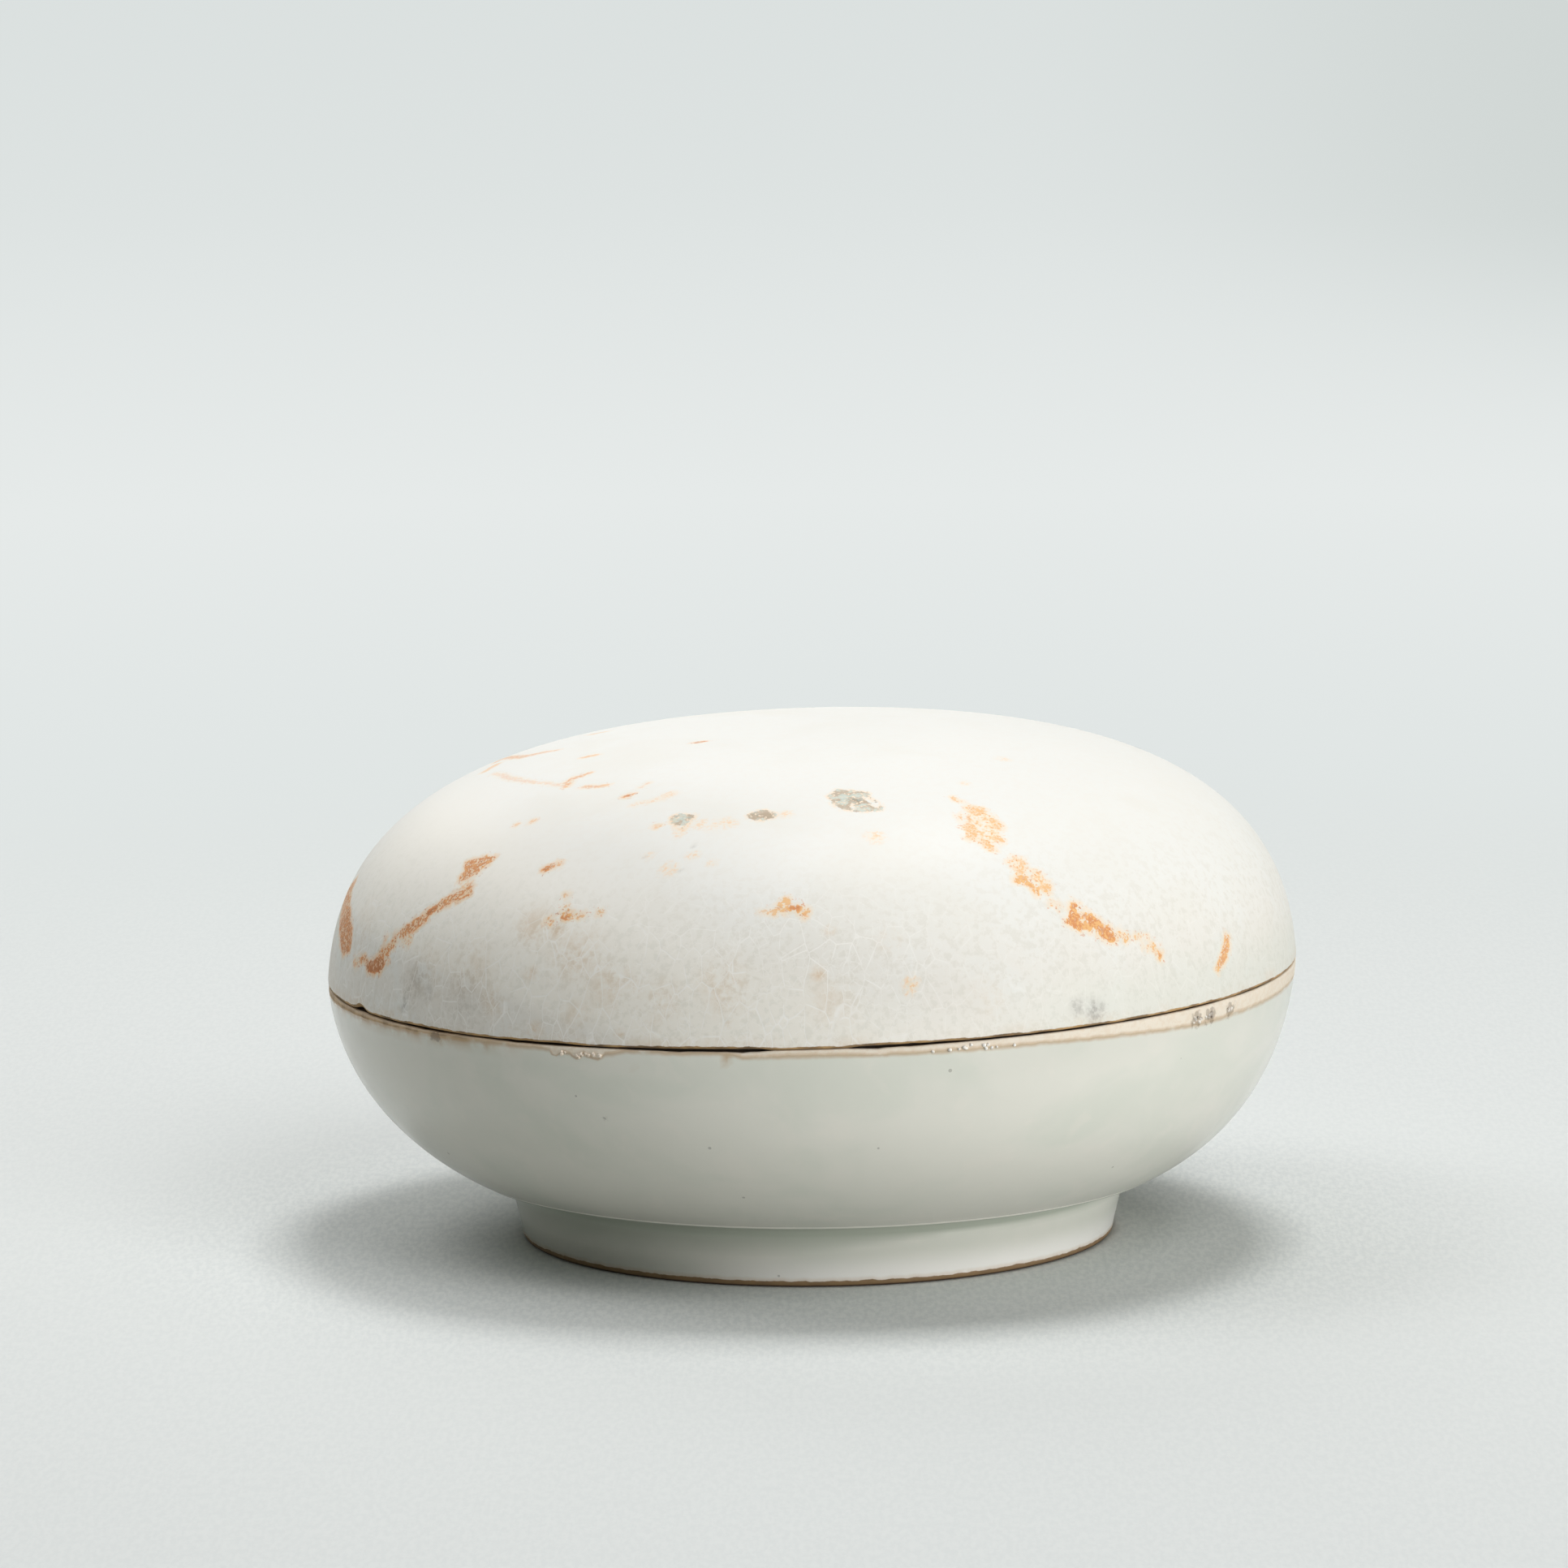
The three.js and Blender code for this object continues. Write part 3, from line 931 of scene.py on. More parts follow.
# Remains of the painting, read off the photograph: azimuth in degrees, climb from the edge of the
# lid in millimetres. Patches and strokes start with the share that is still there, the depth of
# their colour and their strength; the places along a stroke end with half its width in millimetres.
RED_PATCHES = [
    (0.56, 0.55, 1.00, [
        (33.8, 14.9), (34.2, 14.5), (35, 13.5), (35.6, 12.8), (36.8, 11.8), (37.1, 11.1),
        (38.1, 11), (38, 10.3), (38.3, 9.2), (37.8, 8.9), (36.8, 9), (36, 9.8), (35.4, 10),
        (34.8, 10.5), (34.4, 11), (33.8, 10.8), (33.3, 10.7), (32.6, 11.4), (31.7, 12.1),
        (32.6, 13.1), (33.2, 14.1),
    ]),
    (0.52, 0.95, 0.92, [
        (-79.9, 10.4), (-76.3, 9.1), (-74.1, 8.2), (-72.9, 6.8), (-72.6, 5.6), (-75.6, 4.9),
        (-78.3, 5.9), (-82.2, 7.3), (-82, 9),
    ]),
    (0.50, 0.80, 0.85, [
        (-85.9, 13.4), (-84.4, 12.5), (-83.8, 11.5), (-79.9, 10.4), (-82, 9), (-82.2, 7.3),
        (-85.2, 8.5), (-88, 9.5), (-90.4, 10.6), (-87.1, 12.5),
    ]),
    (0.52, 0.75, 0.95, [
        (-48.9, 22), (-49, 21), (-49.8, 20.2), (-49.8, 19.3), (-50.8, 18.8), (-51.1, 18.3),
        (-51.9, 17.8), (-52.6, 17.8), (-52.9, 18.9), (-52.8, 19.5), (-54, 20.4), (-53.1, 20.9),
        (-52, 21.3), (-51, 22),
    ]),
    (0.56, 1.15, 0.95, [
        (-66.1, 5.6), (-64, 5.9), (-63.6, 6.4), (-62.1, 6.6), (-61.3, 6.1), (-60.9, 5.4),
        (-61.9, 4.7), (-63.7, 4.4), (-65.1, 4.3), (-66.1, 5),
    ]),
    (0.56, 0.80, 0.95, [
        (-32.8, 15.2), (-31.9, 15.5), (-31.8, 15.7), (-31.3, 15.4), (-31.2, 14.6), (-31.3, 14.4),
        (-32.4, 14.5),
    ]),
]

RED_STROKES = [
    (0.50, 0.25, 0.85, [(26.9, 31.8, 0.6), (28.1, 31.3, 0.8), (27, 30.4, 0.4)]),
    (0.50, 0.25, 0.85, [(23.9, 27.9, 0.5), (24.8, 27.8, 0.6), (23.7, 26.2, 0.6)]),
    (0.50, 0.25, 0.85, [(28.8, 28.8, 0.5), (29, 27.5, 0.6), (29, 26.9, 0.3)]),
    (0.50, 0.30, 0.85, [(23.3, 26.2, 0.4), (24, 25.7, 0.3)]),
    (0.50, 0.25, 0.85, [(25.1, 25, 0.4), (25.7, 23.7, 0.5)]),
    (0.50, 0.25, 0.80, [(27.2, 25.5, 0.4), (27.9, 24.9, 0.4)]),
    (0.50, 0.40, 0.70, [(24.2, 30.5, 0.3), (23.7, 29.5, 0.2)]),
    (0.50, 0.30, 0.75, [(25.7, 34.8, 0.35), (26.1, 33.6, 0.3)]),
    (0.56, 0.60, 0.60, [(25.5, 30.3, 0.12), (25.1, 29.1, 0.15), (24.3, 28.5, 0.15)]),
    (0.50, 0.30, 0.85, [(27.3, 21.3, 0.25), (28.4, 21.6, 0.3)]),
    (0.56, 0.40, 0.75, [(28.7, 20.8, 0.2), (29.3, 20.7, 0.25), (29.3, 21.1, 0.15)]),
    (0.56, 0.40, 0.75, [(27.9, 20.3, 0.15), (27.9, 19.6, 0.2), (28.8, 19.5, 0.25)]),
    (0.53, 0.40, 0.95, [(27.3, 18.4, 0.5), (28.2, 18.6, 0.5), (28.2, 17.7, 0.35)]),
    (0.55, 0.50, 0.95, [(28.8, 17.7, 0.3), (29.3, 16.4, 0.35)]),
    (0.55, 0.50, 0.80, [(30.5, 19.3, 0.25), (30.9, 18.8, 0.15)]),
    (0.52, 0.35, 0.85, [(30.2, 17.2, 0.4), (30.8, 16.6, 0.45), (31.4, 17.2, 0.3)]),
    (0.52, 0.40, 0.85, [(30.5, 14.8, 0.35), (30.9, 14.9, 0.25)]),
    (0.52, 0.40, 0.80, [(31.5, 14.5, 0.25), (31.4, 14, 0.2)]),
    (0.50, 0.40, 0.85, [(39.2, 9.8, 0.3), (39.8, 9.5, 0.4), (39.6, 8.9, 0.25)]),
    (0.48, 0.40, 0.75, [(41.3, 9.1, 0.25), (42.2, 9.1, 0.3), (43.1, 8.8, 0.25)]),
    (0.50, 0.35, 0.70, [(42.3, 7.6, 0.25), (42.5, 7.4, 0.2)]),
    (0.50, 0.35, 0.85, [(43.7, 7.8, 0.35), (44, 7.1, 0.4)]),
    (0.55, 0.50, 0.95, [(44.6, 6.8, 0.3), (44.4, 6.1, 0.35)]),
    (0.60, 0.90, 0.70, [(-49.8, 17.9, 0.12), (-49, 17.3, 0.15), (-49.2, 16.8, 0.12)]),
    (0.49, 0.85, 0.95, [(-49.5, 16.6, 0.7), (-50.8, 15.7, 0.8), (-51.6, 15.5, 0.7)]),
    (0.49, 0.85, 0.95, [(-51.6, 15.5, 0.7), (-53.1, 14.7, 0.6), (-53.7, 14, 0.55)]),
    (0.58, 0.90, 0.95, [(-53.7, 14.1, 0.5), (-55, 13.1, 0.45)]),
    (0.51, 0.85, 0.95, [
        (-55.2, 12.4, 0.6), (-56.2, 11.8, 0.75), (-57.3, 10.9, 0.8), (-58.9, 10, 0.6),
    ]),
    (0.50, 0.85, 0.95, [(-60, 9.4, 0.5), (-60, 8.5, 0.55), (-61.3, 7.6, 0.6), (-62.4, 6.8, 0.6)]),
    (0.50, 0.90, 0.90, [(-67.8, 5.4, 0.5), (-67, 5.7, 0.4)]),
    (0.50, 0.50, 0.80, [(-70.2, 4.9, 0.35), (-69.4, 4.8, 0.3)]),
    (0.55, 0.90, 0.90, [(-60.6, 6.7, 0.35), (-60.3, 6.5, 0.3)]),
    (0.60, 0.90, 0.90, [(-62.5, 8.9, 0.25), (-62.2, 8.9, 0.2)]),
    (0.48, 0.40, 0.60, [(-57.7, 9.2, 0.5), (-56.7, 9.3, 0.5)]),
    (0.60, 0.30, 0.85, [
        (-4.2, 16.6, 0.15), (-4, 17.1, 0.2), (-3.4, 17.8, 0.25), (-3, 17.5, 0.25), (-3, 16.9, 0.2),
        (-3.3, 16.2, 0.25), (-3.9, 16.2, 0.3), (-4.2, 16.6, 0.2),
    ]),
    (0.58, 0.60, 1.00, [
        (-2.8, 16.4, 0.45), (-2.4, 16.7, 0.5), (-1.9, 16.5, 0.6), (-1.6, 16.2, 0.4),
    ]),
    (0.62, 0.50, 0.90, [
        (-1.5, 16.1, 0.25), (-1.3, 16.5, 0.25), (-0.9, 16.6, 0.25), (-0.6, 16.3, 0.25),
        (-0.9, 15.6, 0.3), (-1.3, 15.9, 0.25), (-1.5, 16.1, 0.25),
    ]),
    (0.60, 0.30, 0.70, [
        (-5.2, 16.1, 0.15), (-4.9, 16.3, 0.15), (-4.8, 16, 0.15), (-4.9, 15.7, 0.2),
        (-5.2, 16.1, 0.15),
    ]),
    (0.50, 0.10, 0.50, [(-6.3, 16.1, 0.3), (-5.7, 16, 0.2)]),
    (0.56, 0.85, 1.00, [(-38.5, 21.1, 0.4), (-38.1, 21.4, 0.5)]),
    (0.66, 0.70, 0.75, [
        (-37.9, 21.8, 0.13), (-37.5, 22.3, 0.13), (-36.4, 22.5, 0.15), (-36.4, 22, 0.12),
        (-37, 21.6, 0.12), (-37.6, 21.4, 0.15),
    ]),
    (0.62, 0.50, 0.80, [
        (-34.5, 14.1, 0.2), (-34.2, 14.5, 0.2), (-33.6, 14.3, 0.15), (-33.7, 13.8, 0.25),
        (-34.5, 14.1, 0.2),
    ]),
    (0.50, 0.50, 0.70, [(-33.1, 17.6, 0.35), (-33, 17.6, 0.3)]),
    (0.50, 0.20, 0.55, [(-32.4, 16.2, 0.35), (-32.2, 16, 0.3)]),
    (0.50, 0.50, 0.75, [(-30.3, 15, 0.3), (-29.5, 15.2, 0.25)]),
    (0.50, 0.20, 0.70, [(-27.4, 15.6, 0.4), (-27.1, 15.6, 0.35)]),
    (0.52, 0.70, 0.60, [
        (-101.4, 33.8, 0.4), (-106.2, 33.9, 0.5), (-97.3, 37.3, 0.7), (-93.6, 38.7, 0.7),
        (-93, 40.4, 0.6), (-90.6, 42.9, 0.3),
    ]),
    (0.62, 0.20, 0.45, [(-91.6, 33.5, 0.5), (-93.7, 34.2, 0.7), (-96.6, 34.7, 0.6)]),
    (0.53, 0.60, 0.32, [
        (-85.3, 34.7, 0.3), (-75.1, 35.7, 0.45), (-69.1, 36.2, 0.4), (-63.3, 36.7, 0.3),
        (-58.2, 37.3, 0.3), (-54.3, 37.3, 0.3),
    ]),
    (0.52, 0.60, 0.75, [
        (-53.5, 37, 0.3), (-54.7, 37.9, 0.4), (-56.1, 39.1, 0.4), (-56.4, 39.8, 0.4),
        (-55.6, 40.1, 0.3), (-55.8, 41.7, 0.3),
    ]),
    (0.60, 0.30, 0.70, [(-71.1, 44.9, 0.3), (-70.5, 46.4, 0.3)]),
    (0.60, 0.20, 0.45, [(-112, 44.9, 0.5), (-113.4, 46.5, 0.4)]),
    (0.54, 0.55, 0.60, [(-49.3, 37.8, 0.35), (-45.9, 38.5, 0.4), (-44.2, 39.3, 0.15)]),
    (0.56, 0.90, 0.90, [(-36.6, 36.5, 0.35), (-36, 36.9, 0.35), (-35.5, 37.4, 0.25)]),
    (0.66, 0.60, 0.40, [(-35.8, 39.1, 0.15), (-36, 41, 0.15)]),
    (0.46, 0.20, 0.35, [
        (-32.8, 34.7, 0.3), (-31.2, 35.4, 0.4), (-30.1, 35.5, 0.3), (-28.8, 36.7, 0.6),
        (-27.7, 38.1, 0.7),
    ]),
    (0.52, 0.40, 0.60, [(-48.9, 28.9, 0.45), (-48.6, 29.1, 0.4)]),
    (0.52, 0.40, 0.50, [(-51.3, 27.9, 0.35), (-51.1, 27.9, 0.3)]),
    (0.50, 0.30, 0.60, [(-25.2, 30.1, 0.5), (-24.9, 30.1, 0.4)]),
    (0.62, 0.95, 0.85, [(-56.4, 57.4, 0.35), (-55.5, 58.6, 0.3)]),
    (0.54, 0.30, 0.55, [
        (-19.8, 30.9, 0.12), (-20.2, 28.9, 0.14), (-22.4, 30.6, 0.12), (-23.4, 31.8, 0.1),
    ]),
    (0.54, 0.50, 0.90, [(57.9, 6.5, 0.5), (57.3, 5.5, 0.65), (55.8, 4.1, 0.6), (54.5, 3.2, 0.35)]),
]

# Outlines where flakes came off the thick enamel, and where only a pale wash is left.
LOST_FLAKES = [
    [(34.4, 14.1), (35, 13.5), (34.5, 13), (33.9, 13.2)],
    [(34.1, 12.5), (34.8, 11.8), (34.5, 11.6), (33.8, 12.1)],
    [(34.8, 10.5), (35.6, 10.8), (36, 10.4), (35.7, 10), (35.1, 10)],
    [(-32.4, 15), (-31.9, 15.1), (-31.9, 14.8), (-32.4, 14.7)],
]

LOST_LEAF = [
    [(9.3, 36.6), (9.9, 36.9), (10.9, 35.5), (10.4, 35.1)],
    [(10.5, 34.6), (11.1, 35.0), (11.9, 33.9), (11.2, 33.7)],
    [(-21.7, 30.3), (-20.4, 30.3), (-20.1, 28.8), (-21, 28.9)],
    [(6.9, 34.2), (7.4, 34.9), (7.7, 33.6), (7.3, 33.2)],
]

PALE_WASHES = [
    [
        (26.1, 31.3), (27.9, 32.1), (29.3, 31.1), (29.9, 29.4), (29.3, 27.4), (28.2, 25),
        (26.6, 24.6), (25.7, 23.6), (24.8, 24.4), (23.6, 25.6), (23.4, 27.5), (24.6, 29.3),
    ],
    [(27.2, 21.3), (28.5, 21.8), (29.6, 21.6), (29.4, 20.2), (29, 19.3), (27.9, 19), (27.3, 20)],
    [
        (29.7, 19.7), (30.8, 19.6), (31.2, 18.3), (31.5, 17.1), (30.9, 16.4), (29.9, 16.4),
        (29.3, 17.2), (29.3, 18.3),
    ],
]

LEAVES = [
    [
        (-23.8, 32.1), (-23.1, 32.7), (-22, 32.9), (-19.6, 32.8), (-19.8, 31.7), (-20.4, 31.1),
        (-20.2, 29.9), (-20.2, 28.6), (-21, 29), (-22.3, 30.4), (-23.1, 31),
    ],
    [
        (-10.9, 32.7), (-10.5, 33.5), (-9.1, 33.8), (-7.9, 34.2), (-7.2, 33.7), (-6.3, 33.3),
        (-5.8, 32.7), (-6.1, 32), (-7.5, 31.8), (-8.7, 31.5), (-9.7, 31.6),
    ],
    [
        (3, 37.1), (4.2, 38.6), (5.3, 39.2), (7.4, 38.7), (10.7, 38.1), (10.8, 36.5), (11.9, 35),
        (12.2, 33.3), (11.3, 33), (9, 32.9), (7.4, 32.9), (5.1, 33.9), (3.9, 35.3),
    ],
]

# Spots: azimuth, climb, radius in millimetres and strength.
LEAF_SHADES = [
    (-23.2, 32.2, 1.2, 0.6), (-20.6, 32.3, 1.4, 0.5), (-9.6, 32.7, 1.6, 0.6),
    (-7.3, 32.7, 1.6, 0.8), (8.3, 35.9, 1.6, 0.9), (10.1, 35.8, 2.0, 0.4), (5.1, 36.1, 1.0, 0.3),
]

PALE_TRACES = [
    (9.4, 27.4, 1.9, 0.7), (-19.7, 22.3, 1.8, 0.6), (-23.6, 24.4, 1.0, 0.5),
    (-17.0, 24.6, 1.3, 0.6), (-18.2, 30.8, 2.0, 0.45), (-15.4, 30.6, 2.2, 0.4),
    (-13.2, 30.9, 1.6, 0.6), (-20.6, 28.6, 1.2, 0.6), (-13.9, 23.4, 1.1, 0.4),
    (-28.0, 37.6, 1.2, 0.6), (-25.0, 30.1, 1.0, 0.5), (-4.2, 33.0, 1.3, 0.6),
    (31.0, 38.2, 1.2, 0.4), (50.0, 43.6, 1.6, 0.4), (11.2, 6.6, 1.3, 1.0), (11.0, 5.9, 1.1, 1.0),
    (-14.0, 31.6, 1.2, 0.7), (-69.0, 4.9, 1.8, 0.5), (38.9, 9.3, 1.2, 0.5), (44.3, 7.0, 1.3, 0.7),
    (-57.0, 9.2, 1.4, 0.4), (-50.6, 17.5, 1.6, 0.8),
]

TAN_STAINS = [
    (-36, 13, 5.0, 0.5), (-29, 10, 6.0, 0.5), (-24, 7, 5.5, 0.45), (-35, 7.7, 1.6, 0.6),
    (0.6, 8.2, 1.6, 0.8), (-52, 6, 6.0, 0.3), (-10, 7, 5.5, 0.45), (20, 4, 4.0, 0.2),
    (-70, 9, 6.0, 0.2), (-44, 7, 6.0, 0.35), (-18, 5, 5.0, 0.4), (2, 5, 5.0, 0.3),
    (9, 12, 2.5, 0.3), (-32.5, 13, 2.0, 0.7), (-9.5, 2.4, 0.8, 0.9), (-40, 4, 4.0, 0.4),
    (-28, 3, 3.0, 0.4), (2, 13.5, 1.2, 0.5), (-22.5, 1.2, 0.9, 0.9), (-33.4, 0.7, 2.0, 0.6),
]

GREY_SMUDGES = [
    (-55.2, 1.5, 1.0, 1.0), (-54.9, 2.6, 1.2, 0.6), (31.4, 2.0, 1.8, 0.6), (33.8, 1.2, 2.3, 0.85),
    (-17.4, 26.3, 0.5, 0.4), (-24.1, 24.1, 0.3, 0.7), (-18.1, 22.3, 0.3, 0.7),
    (22.5, 14.5, 0.3, 0.6), (39.5, 21.9, 0.3, 0.6), (60.3, 20.8, 0.3, 0.6), (-53.5, 4.5, 4.0, 0.4),
    (-50.8, 3.7, 1.8, 0.35), (-44, 4, 5.5, 0.25),
]

# The chip in the lid's edge: azimuth, climb, radius and depth in millimetres.
EDGE_CHIP = (-66.2, 0.0, 2.6, 0.6)

# Marks on the base: azimuth, drop below the rim and radius in millimetres.
BROWN_STAINS = [
    (-50, 0.1, 1.5), (-47.5, 0.2, 1.6), (-40.5, 0.2, 1.1), (-9.9, 0.4, 0.9), (-20.6, 1.9, 0.4),
]
DIRT_SMUDGES = [
    (50.0, 0.9, 1.6), (52.7, 0.9, 1.6), (57.0, 0.9, 1.5), (-25.3, 8.2, 0.5), (-49, 0.2, 1.2),
]
BARE_LUMPS = [(-30.5, 0.2, 1.0), (-28, 0.3, 1.2), (-25.5, 0.3, 1.2)]

# Clusters of grit: azimuth, drop below the rim in millimetres, spread in degrees and grains.
GRIT_CLUSTERS = [
    (50.0, 0.9, 0.6, 7), (52.7, 0.9, 0.6, 7), (57.0, 0.9, 0.5, 6), (17.8, 0.25, 2.2, 12),
    (-27.5, 0.4, 1.9, 14),
]

# Courses round the box, as azimuth and value: how far the bare band drops below the rim and the
# pooled glaze, darkened as painted shade, runs down the foot, in millimetres, how brown the rim is
# and how closed the seam.
BAND_DROP = [
    (-180, 0.7), (-120, 0.9), (-75, 0.2), (-54.9, 0.0), (-40, -0.2), (-32, -0.2), (-31, 0.05),
    (-23, 0.05), (-22, -0.4), (-9.5, -0.4), (-8, 0.1), (0, 0.1), (28.4, 0.5), (51, 1.5), (75, 1.3),
    (120, 0.7), (180, 0.7),
]
POOL_AND_SHADE_RUN = [(-180, 2.0), (-60, 3.4), (-10, 3.0), (25, 0.6), (180, 2.0)]
RIM_BROWN = [(-110, 0), (-80, 1.0), (-45, 0.9), (-33, 0)]
SEAM_CLOSED = [
    (-180, 0.6), (-100, 0.5), (-60, 0.7), (-50, 0.4), (-16, 0.4), (-11, 0.0), (-6, 0.0), (-5, 1.1),
    (3.6, 1.1), (4.6, 0.1), (14, 0.1), (18, 0.5), (40, 0.8), (100, 0.9), (180, 0.6),
]

# The worn motif comes back half a turn on, on the side that the photograph doesn't show: the part
# of it that lies within this azimuth and below this climb.
BACK_TURN = 178.0
BACK_REACH = 66.0
BACK_CLIMB = 36.0


def sides(places):
    """The places of a mark as photographed, and again where it comes back on the other side."""
    yield places
    if all(abs(place[0]) < BACK_REACH and place[1] < BACK_CLIMB for place in places):
        yield [(place[0] + BACK_TURN, *place[1:]) for place in places]


def azimuth_of(points):
    """Azimuth in degrees, 0 at the front and growing to the right."""
    return np.degrees(np.arctan2(points[:, 0], -points[:, 1]))


def course(azimuth, knots):
    """A value that changes round the box, between knots of azimuth and value."""
    return np.interp(azimuth, *zip(*knots))


def share_along(off, way):
    """Which share of a straight way lies nearest to points, given from its start."""
    return np.clip(off @ way / max(way @ way, NO_LENGTH), 0, 1)


def capsule(points, start, end, start_half, end_half):
    """Distance of points from a tapering stroke, negative inside it."""
    way = end - start
    t = share_along(points - start, way)
    near = start + t[:, None] * way
    return np.linalg.norm(points - near, axis=1) - (start_half + t * (end_half - start_half))


def outline(flat, corners):
    """Distance of flat points from a closed outline, negative inside it."""
    gap = np.full(len(flat), np.inf)
    inside = np.zeros(len(flat), dtype=bool)
    for start, end in zip(corners, np.roll(corners, -1, axis=0)):
        way = end - start
        off = flat - start
        t = share_along(off, way)
        gap = np.minimum(gap, np.linalg.norm(off - t[:, None] * way, axis=1))
        spans = (flat[:, 1] < start[1]) != (flat[:, 1] < end[1])
        slope = way[0] / way[1] if way[1] else 0.0
        inside ^= spans & (off[:, 0] < off[:, 1] * slope)
    return np.where(inside, -gap, gap)


def spot(points, centre, radius):
    """1 at a centre, falling smoothly to 0 at a radius."""
    return eased(np.clip(1 - np.linalg.norm(points - centre, axis=1) / radius, 0, 1))


def strongest(points, spots):
    """The strongest of some soft spots, each a place, a radius in millimetres and a strength."""
    shares = [strength * spot(points, place, radius * MM) for place, radius, strength in spots]
    return np.max(shares, axis=0)


class LidChart:
    """The outside of the lid as a chart of azimuth and of climb from its edge."""

    FAR = 20.0  # millimetres; distances are not followed farther

    def __init__(self, shape, section, points, along):
        self.surface = Turned(shape, section)
        self.start = section.mark_at("dome") - shape.edge_round
        self.points = points
        self.azimuth = azimuth_of(points)
        self.radius = np.hypot(points[:, 0], points[:, 1]) / MM
        self.climb = (along - self.start) / MM
        self.outside = along > section.mark_at("rim")

    def place(self, degrees, climb):
        return self.surface.place(degrees, self.start + climb * MM)

    def stroke(self, places):
        """Distance from a brush stroke in millimetres, negative inside it."""
        gap = np.full(len(self.points), self.FAR)
        for (*first, half), (*second, next_half) in zip(places, places[1:]):
            ends = self.place(*first), self.place(*second)
            reach = capsule(self.points, *ends, half * MM, next_half * MM)
            gap = np.minimum(gap, reach / MM)
        return np.where(self.outside, gap, self.FAR)

    def patch(self, corners):
        """Distance from a closed outline in millimetres, negative inside it."""
        corners = np.array(corners, dtype=float)
        middle, level = corners.mean(axis=0)
        off = (self.azimuth - middle + 180) % 360 - 180
        near = self.outside & (np.radians(np.abs(off)) * self.radius < self.FAR)
        near &= np.abs(self.climb - level) < self.FAR
        flat = np.column_stack([np.radians(off) * self.radius, self.climb])[near]
        radius = np.array([np.hypot(*self.place(a, b)[:2]) / MM for a, b in corners])
        corners[:, 0] = np.radians(corners[:, 0] - middle) * radius
        gap = np.full(len(self.points), self.FAR)
        gap[near] = outline(flat, corners)
        return gap

    def nearest(self, outlines):
        """Distance from the nearest of some outlines, on both sides of the lid."""
        gaps = [self.patch(side) for places in outlines for side in sides(places)]
        return np.minimum(self.FAR, np.min(gaps, axis=0))

    def spots(self, marks):
        """The strongest of some soft spots on the outside."""
        spots = [(self.place(turn, climb), *rest) for turn, climb, *rest in marks]
        return strongest(self.points, spots) * self.outside


# Meshes


def mesh_vectors(mesh, kind):
    """The places ("co") or the normals ("normal") of a mesh's points."""
    vectors = np.empty(len(mesh.vertices) * 3, dtype=np.float32)
    mesh.vertices.foreach_get(kind, vectors)
    return vectors.reshape(-1, 3).astype(float)


def take_along(mesh):
    """The distance walked along the section at every point, which the mesh then forgets."""
    along = np.empty(len(mesh.vertices), dtype=np.float32)
    mesh.attributes["along"].data.foreach_get("value", along)
    mesh.attributes.remove(mesh.attributes["along"])
    return along.astype(float)


def store(mesh, name, *columns):
    """Stores a number, or a vector of three, on every point of a mesh."""
    kind, field = ("FLOAT", "value") if len(columns) == 1 else ("FLOAT_VECTOR", "vector")
    layer = mesh.attributes.new(name, kind, "POINT")
    layer.data.foreach_set(field, np.column_stack(columns).astype(np.float32).ravel())


def ragged(azimuth, knots, seed):
    """A number between 0 and 1 that wanders round the rim, with so many turns of mind."""
    height = np.random.default_rng(seed).uniform(0, 1, knots)
    place = (azimuth % 360) / 360 * knots
    low = np.floor(place).astype(int)
    t = eased(place - low)
    return height[low % knots] * (1 - t) + height[(low + 1) % knots] * t


def near_run(along, start, end, reach):
    """1 between two places along the section, falling to 0 at a reach beyond them."""
    return np.clip(1 - np.maximum(start - along, along - end) / reach, 0, 1)


def rim_shift(points, along, start, end, seed):
    """How far a rim stands nearer to its partner, in metres; below 0 where it is worn back."""
    azimuth = azimuth_of(points)
    closed = course(azimuth, SEAM_CLOSED) + 0.6 * (ragged(azimuth, 90, seed=8) - 0.5)
    closed = np.clip(closed, 0, 1)
    # Slow wear of up to 0.06 mm, and nicks of up to 0.16 mm that come in clusters.
    nicks = np.clip(ragged(azimuth, 260, seed) - 0.55, 0, 1)
    worn = 0.06 * ragged(azimuth, 36, seed + 1) + 0.35 * nicks * ragged(azimuth, 24, seed + 2)
    worn = worn * MM * (1 - closed) * near_run(along, start, end, NICK_REACH)
    return CLOSED_SHIFT * closed * near_run(along, start, end, CLOSED_REACH) - worn


def section_mesh(name, section):
    """A section as a mesh of points and edges that knows the distance walked."""
    mesh = bpy.data.meshes.new(name)
    places = [(r, 0.0, z) for r, z in section.points]
    mesh.from_pydata(places, [(i, i + 1) for i in range(len(places) - 1)], [])
    store(mesh, "along", section.along())
    return mesh


def check_fit(piece, node):
    """Stops if a dressed piece stands outside the CAD node that it stands for."""
    low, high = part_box(node)
    points = mesh_vectors(piece.data, "co")
    below = np.array(low) - points.min(axis=0)
    above = points.max(axis=0) - np.array(high)
    over = max(below.max(), above.max())
    if over > FIT_SLACK:
        raise RuntimeError(f"{piece.name} stands {over / MM:.2f} mm outside {node}")


